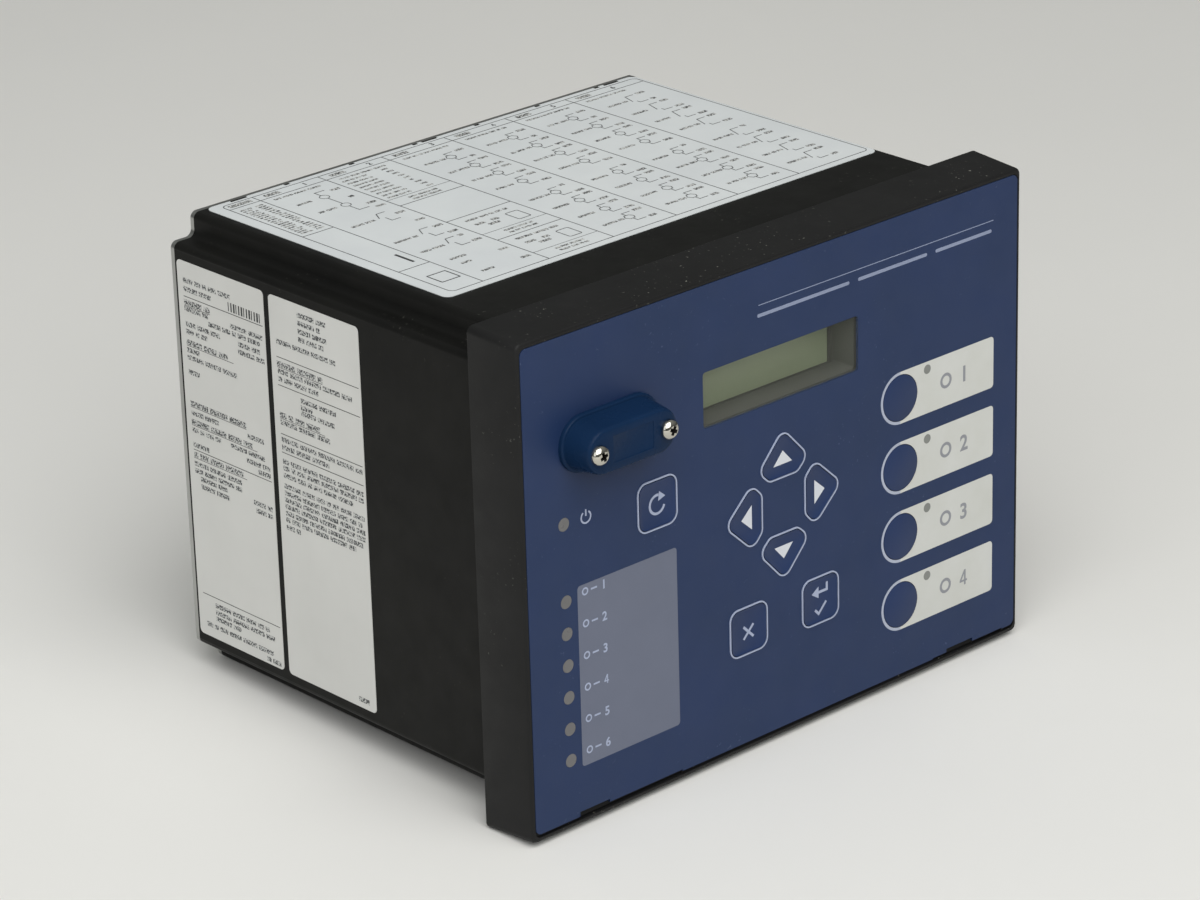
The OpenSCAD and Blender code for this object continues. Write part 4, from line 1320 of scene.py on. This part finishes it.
@dataclass
class TopLabel:
    """Wiring label on top: one column for each card, with its terminals and their circuits.

    Columns are the X of the lines between them. The first, narrow column starts at the label's edge.
    """

    level: float = 69.15
    low: Point = (-76.17, 29.74)
    high: Point = (84.0, 129.0)
    header_y: float = 124.86
    columns: tuple[float, ...] = (-64.87, -40.8, -16.88, 7.1, 31.01, 55.29)
    circuit_rows: tuple[float, ...] = (114.0, 103.5, 93.5, 83.0, 69.0, 59.0, 48.5, 38.5)
    line: float = 0.28
    fine_line: float = 0.18
    border_r: float = 2.0
    supply_rows: int = 19
    supply_top: float = 121.5
    coil_r: Point = (1.6, 1.35)
    input_r: Point = (1.8, 1.5)

    def build(self) -> None:
        """Prints the label's frame, circuits and rows."""
        lines = PrintLayer("top_label_lines", Surface.TOP, self.level, INK, "label_paper")
        small = PrintLayer("top_label_rows", Surface.TOP, self.level, INK_ROWS, "label_paper")
        self._frame(lines)
        for fill in (self._header, self._supply, self._processor, self._ports):
            fill(lines, small)
        for x in self.columns[2:]:
            self._circuits(lines, small, x, switched=x == self.columns[-1])
        lines.build()
        small.build()

    def _frame(self, lines: PrintLayer) -> None:
        """Border with round corners, header line and column lines.

        Args:
            lines: Layer of the thin lines.
        """
        edge = self.line
        (x0, y0), (x1, y1) = self.low, self.high
        (in_x0, in_y0), (in_x1, in_y1) = (x0 + edge, y0 + edge), (x1 - edge, y1 - edge)
        lines.ring(rounded_box(self.low, self.high, self.border_r),
                   rounded_box((in_x0, in_y0), (in_x1, in_y1), self.border_r - edge))
        lines.stroke([(in_x0, self.header_y), (in_x1, self.header_y)], self.line)
        for x in self.columns:
            lines.stroke([(x, in_y0), (x, in_y1)], self.line)

    def _header(self, lines: PrintLayer, small: PrintLayer) -> None:
        """Short marks over each column.

        Args:
            lines: Layer of the thin lines.
            small: Layer of the small print.
        """
        y = self.header_y + 1.1
        small.row((self.low[0] + 1.5, y), self.low[0] + 9.5, 1.9, 3)
        for i, x in enumerate(self.columns):
            small.row((x + 3.0, y), x + 8.5, 1.9, 5)
            lines.numeral(str(i + 1), (x + 17.0, y), 2.0)
            small.row((x + 3.0, y - 4.0), x + 20.0, 1.0, i)

    def _supply(self, lines: PrintLayer, small: PrintLayer) -> None:
        """First, narrow column.

        Args:
            lines: Layer of the thin lines.
            small: Layer of the small print.
        """
        x = self.low[0]
        for i in range(self.supply_rows):
            y = self.supply_top - 1.5 * i
            small.row((x + 1.6, y), x + 5.6, 0.85, i)
            small.row((x + 7.0, y), x + 9.8, 0.85, i + 40)
        for y in (92.6, 51.8):
            lines.stroke([(x + 0.3, y), (self.columns[0], y)], self.line)
        lines.bar((x + 8.0, 55.0), (x + 8.9, 63.0))
        lines.ring(rounded_box((x + 3.0, 37.0), (x + 9.8, 43.8), 0.3),
                   rounded_box((x + 3.4, 37.4), (x + 9.4, 43.4), 0.2))

    def _processor(self, lines: PrintLayer, small: PrintLayer) -> None:
        """Second column, with coils and change-over contacts.

        Args:
            lines: Layer of the thin lines.
            small: Layer of the small print.
        """
        x = self.columns[0]
        coil_x = x + 14.4
        for y in (114.0, 104.5):
            lines.circle((coil_x, y), *self.coil_r, 20)
            small.row((x + 4.5, y - 0.6), x + 11.5, 1.2, int(y))
        lines.stroke([(coil_x, 115.6), (coil_x, 118.5), (x + 18.0, 118.5)], self.line)
        lines.stroke([(coil_x, 112.4), (coil_x, 106.1)], self.line)
        lines.stroke([(coil_x, 102.9), (coil_x, 98.5), (x + 18.0, 98.5)], self.line)
        for y in (88.5, 70.0, 59.0):
            small.row((x + 3.0, y - 0.6), x + 11.5, 1.2, int(y))
            lines.stroke([(x + 18.0, y + 3.5), (coil_x + 0.5, y + 3.5), (coil_x - 1.2, y)], self.line)
            lines.stroke([(coil_x + 0.5, y - 0.5), (coil_x + 0.5, y - 3.5), (x + 18.0, y - 3.5)], self.line)
        for i, y in enumerate((117.0, 109.0, 101.0, 97.0, 88.5, 80.0, 72.5, 66.0, 62.0, 56.0, 45.0, 36.0)):
            small.row((x + 19.2, y - 0.7), x + 22.4, 1.4, i)
        for y in (49.0, 44.5, 36.0):
            small.row((x + 5.0, y - 0.6), x + 10.5, 1.2, int(y))

    def _ports(self, lines: PrintLayer, small: PrintLayer) -> None:
        """Third column, with the plugs of the communication ports.

        Args:
            lines: Layer of the thin lines.
            small: Layer of the small print.
        """
        x, end = self.columns[1], self.columns[2]
        for y in (92.4, 72.6, 51.2):
            lines.stroke([(x, y), (end, y)], self.line)
        for y in (57.5, 36.5, 98.3):
            lines.stroke([(x, y), (end, y)], self.fine_line)
        for i, y in enumerate((120.0, 117.5, 115.0, 112.5, 110.0, 107.5, 105.0, 102.5, 100.0)):
            small.row((x + 2.0, y - 0.5), x + 11.0, 1.0, i + 9)
            small.row((x + 16.5, y - 0.5), x + 18.8, 1.0, i + 70)
        for y in (96.2, 94.2, 55.6, 53.5, 34.6, 32.6):
            small.row((x + 6.5, y - 0.5), x + 17.0, 1.0, int(y))
        for y in (69.0, 48.0):
            small.row((x + 4.0, y - 0.6), x + 19.5, 1.2, int(y))
            lines.ring(rounded_box((x + 15.6, y - 9.5), (x + 20.4, y - 3.0), 0.8),
                       rounded_box((x + 15.9, y - 9.2), (x + 20.1, y - 3.3), 0.5))
            small.row((x + 4.0, y - 4.8), x + 7.5, 1.4, 2)
            small.row((x + 10.0, y - 4.8), x + 12.5, 1.4, 4)
            small.row((x + 7.0, y - 7.2), x + 11.0, 1.4, 6)

    def _circuits(self, lines: PrintLayer, small: PrintLayer, x: float, switched: bool) -> None:
        """Eight circuits of one card, each with its two terminals.

        Args:
            lines: Layer of the thin lines.
            small: Layer of the small print.
            x: Left side of the column.
            switched: Whether the circuits are contacts and not inputs.
        """
        middle = x + 14.0
        terminal = middle + 3.2
        for i, y in enumerate(self.circuit_rows):
            small.row((x + 4.0, y - 0.6), x + 11.8, 1.2, i + int(x))
            if switched:
                lines.stroke([(terminal, y + 3.4), (middle, y + 3.4), (middle - 1.4, y - 1.6)], self.line)
                lines.stroke([(middle, y - 2.0), (middle, y - 3.4), (terminal, y - 3.4)], self.line)
            else:
                lines.circle((middle, y), *self.input_r, 6)
                lines.stroke([(middle, y + 1.6), (middle, y + 3.4), (terminal, y + 3.4)], self.line)
                lines.stroke([(middle, y - 1.6), (middle, y - 3.4), (terminal, y - 3.4)], self.line)
            for k, dy in enumerate((3.4, -3.4)):
                small.row((middle + 4.4, y + dy - 0.7), middle + 7.6, 1.4, 2 * i + k)


@dataclass(frozen=True)
class Softbox:
    """Square soft light that faces the object. Its power is in watts."""

    name: str
    at: Triple
    side: float
    power: float
    tint: str

    def build(self) -> None:
        """Adds the light."""
        deselect_all()
        bpy.ops.object.light_add(type="AREA", location=Vector(self.at) * MM)
        light = bpy.context.object
        light.name = self.name
        light.data.shape = "SQUARE"
        light.data.size = self.side * MM
        light.data.energy = self.power
        light.data.color = linear_colour(self.tint)[:3]
        light.rotation_euler = (-Vector(self.at)).to_track_quat("-Z", "Y").to_euler()


@dataclass
class Studio:
    """Camera of the photograph, pale floor and soft light.

    The camera's near and far limits and the side of the floor's paper are metres.
    """

    lens: float = 135.614
    sensor: float = 36.0
    clip: Point = (0.05, 50.0)
    camera_at: Triple = (-807.11, -833.40, 491.52)
    heading: float = 42.203
    down: float = 22.542
    roll: float = -1.626
    paper_side: float = 12.0
    floor_front: Point = (0.0, -73.0)
    floor_rear: Point = (132.7, -69.0)
    lights: tuple[Softbox, ...] = (
        Softbox("key_light", (-520, -1090, 1500), 2050, 41.5, "#ffffff"),
        Softbox("fill_light", (-1900, -300, 900), 1500, 7.7, "#f8faff"))
    horizon: str = "#555655"
    ceiling: str = "#949592"

    def build(self) -> None:
        """Makes the camera, the lights, the floor and the world."""
        self._camera()
        self._floor()
        for light in self.lights:
            light.build()
        self._world()
        bpy.context.scene.view_settings.view_transform = "Standard"

    def _world(self) -> None:
        """Surrounds the scene with a pale room that is darker toward the horizon."""
        world = bpy.data.worlds.new("studio_world")
        world.use_nodes = True
        tree = world.node_tree
        way = add_node(tree, "ShaderNodeTexCoord").outputs["Generated"]
        height = add_node(tree, "ShaderNodeSeparateXYZ", {"Vector": way}).outputs["Z"]
        share = add_node(tree, "ShaderNodeMapRange", {"Value": height, "From Min": 0.0, "From Max": 0.8})
        room = add_node(tree, "ShaderNodeMix", {
            0: share.outputs["Result"], 6: linear_colour(self.horizon), 7: linear_colour(self.ceiling)},
            data_type="RGBA")
        tree.links.new(room.outputs[2], tree.nodes["Background"].inputs["Color"])
        bpy.context.scene.world = world

    def _camera(self) -> None:
        """Puts the camera where it sees what the photograph shows."""
        deselect_all()
        bpy.ops.object.camera_add()
        camera = bpy.context.object
        camera.data.lens = self.lens
        camera.data.sensor_width = self.sensor
        camera.data.clip_start, camera.data.clip_end = self.clip
        camera.matrix_world = (
            Matrix.Translation(Vector(self.camera_at) * MM)
            @ Matrix.Rotation(math.radians(-self.heading), 4, "Z")
            @ Matrix.Rotation(math.radians(90 - self.down), 4, "X")
            @ Matrix.Rotation(math.radians(self.roll), 4, "Z"))
        bpy.context.scene.camera = camera

    def _floor(self) -> None:
        """Lays a wide sheet of paper under the object, on the two edges that it stands on."""
        deselect_all()
        (y0, z0), (y1, z1) = self.floor_front, self.floor_rear
        tilt = math.atan2(z1 - z0, y1 - y0)
        bpy.ops.mesh.primitive_plane_add(size=self.paper_side)
        floor = bpy.context.object
        floor.name = "studio_floor"
        floor.data.transform(Matrix.Rotation(tilt, 4, "X"))
        floor.data.transform(Matrix.Translation((0, y0 * MM, z0 * MM)))
        dress(floor, STUDIO_PAPER)


REAR_LABEL = SideLabel(
    "side_label_rear", rear=130.3, width=38.5, rules=(47.1, 0.4, -44.5),
    headings=((45.4, 14.0), (33.3, 23.5), (14.6, 27.5), (9.0, 32.0), (-1.1, 26.5)),
    rows=((52.0, 2.4, 24.5), (49.4, 2.4, 16.0), (43.4, 2.4, 13.0), (43.4, 23.0, 37.6), (41.3, 13.0, 37.6),
          (38.8, 2.4, 18.0), (38.8, 26.0, 37.6), (36.5, 2.4, 13.0), (36.5, 26.0, 37.6), (30.9, 2.4, 8.0),
          (28.7, 2.4, 26.0), (24.2, 2.4, 7.5), (11.7, 2.5, 15.0), (11.7, 28.0, 37.4), (6.5, 2.5, 15.5),
          (6.5, 20.0, 37.4), (4.0, 27.0, 37.4), (1.9, 2.5, 11.0), (1.9, 32.0, 37.4), (-3.9, 2.5, 24.0),
          (-6.1, 2.5, 24.0), (-8.2, 5.0, 17.0), (-8.2, 29.0, 37.4), (-10.5, 5.0, 18.0), (-10.5, 30.0, 37.4),
          (-46.9, 8.0, 35.0), (-49.1, 8.0, 35.0), (-51.1, 8.0, 19.5), (-53.9, 3.5, 34.0),
          (-56.2, 31.0, 37.4)),
    codes=((47.7, 50.4, 22.5, 37.4, 13),))

FRONT_LABEL = SideLabel(
    "side_label_front", rear=89.5, width=38.4, rules=(39.8, 31.4, 16.8, 11.2),
    headings=((37.8, 22.0), (22.5, 22.0)),
    rows=((54.6, 12.4, 24.6), (52.2, 12.4, 22.0), (49.8, 12.4, 24.6), (47.4, 12.4, 23.2), (44.4, 2.6, 28.0),
          (35.6, 2.6, 34.5), (33.3, 2.6, 20.0), (29.2, 12.0, 28.0), (27.2, 12.0, 17.0),
          (25.5, 12.0, 27.0), (20.3, 2.6, 24.0), (15.1, 2.6, 37.4), (12.8, 2.6, 24.5), (8.5, 2.6, 37.4),
          (6.5, 2.6, 37.4), (4.3, 2.6, 33.5), (1.1, 2.6, 37.4), (-1.1, 2.6, 37.4), (-3.1, 2.6, 37.4),
          (-5.1, 2.6, 37.4), (-7.2, 2.6, 37.4), (-9.2, 2.6, 33.0), (-11.5, 2.6, 10.5), (-55.2, 31.0, 37.4)))


def dress_cad_nodes() -> None:
    """Gives every CAD node its finish, also where a piece stands for it."""
    finishes = {name: finish for finish, names in CAD_NODES.items() for name in names.split()}
    for name, node in frame["nodes"].items():
        dress(node, finishes[name])


def main() -> None:
    """Builds the looks around the frame."""
    logging.basicConfig(level=logging.INFO, format="%(name)s: %(message)s")
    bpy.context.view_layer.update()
    dress_cad_nodes()
    overlay = Overlay()
    for part in (Housing(), Bezel(), overlay, Keypad(overlay), PortCover(), REAR_LABEL, FRONT_LABEL,
                 TopLabel(), Studio()):
        part.build()


if __name__ == "__main__":
    main()
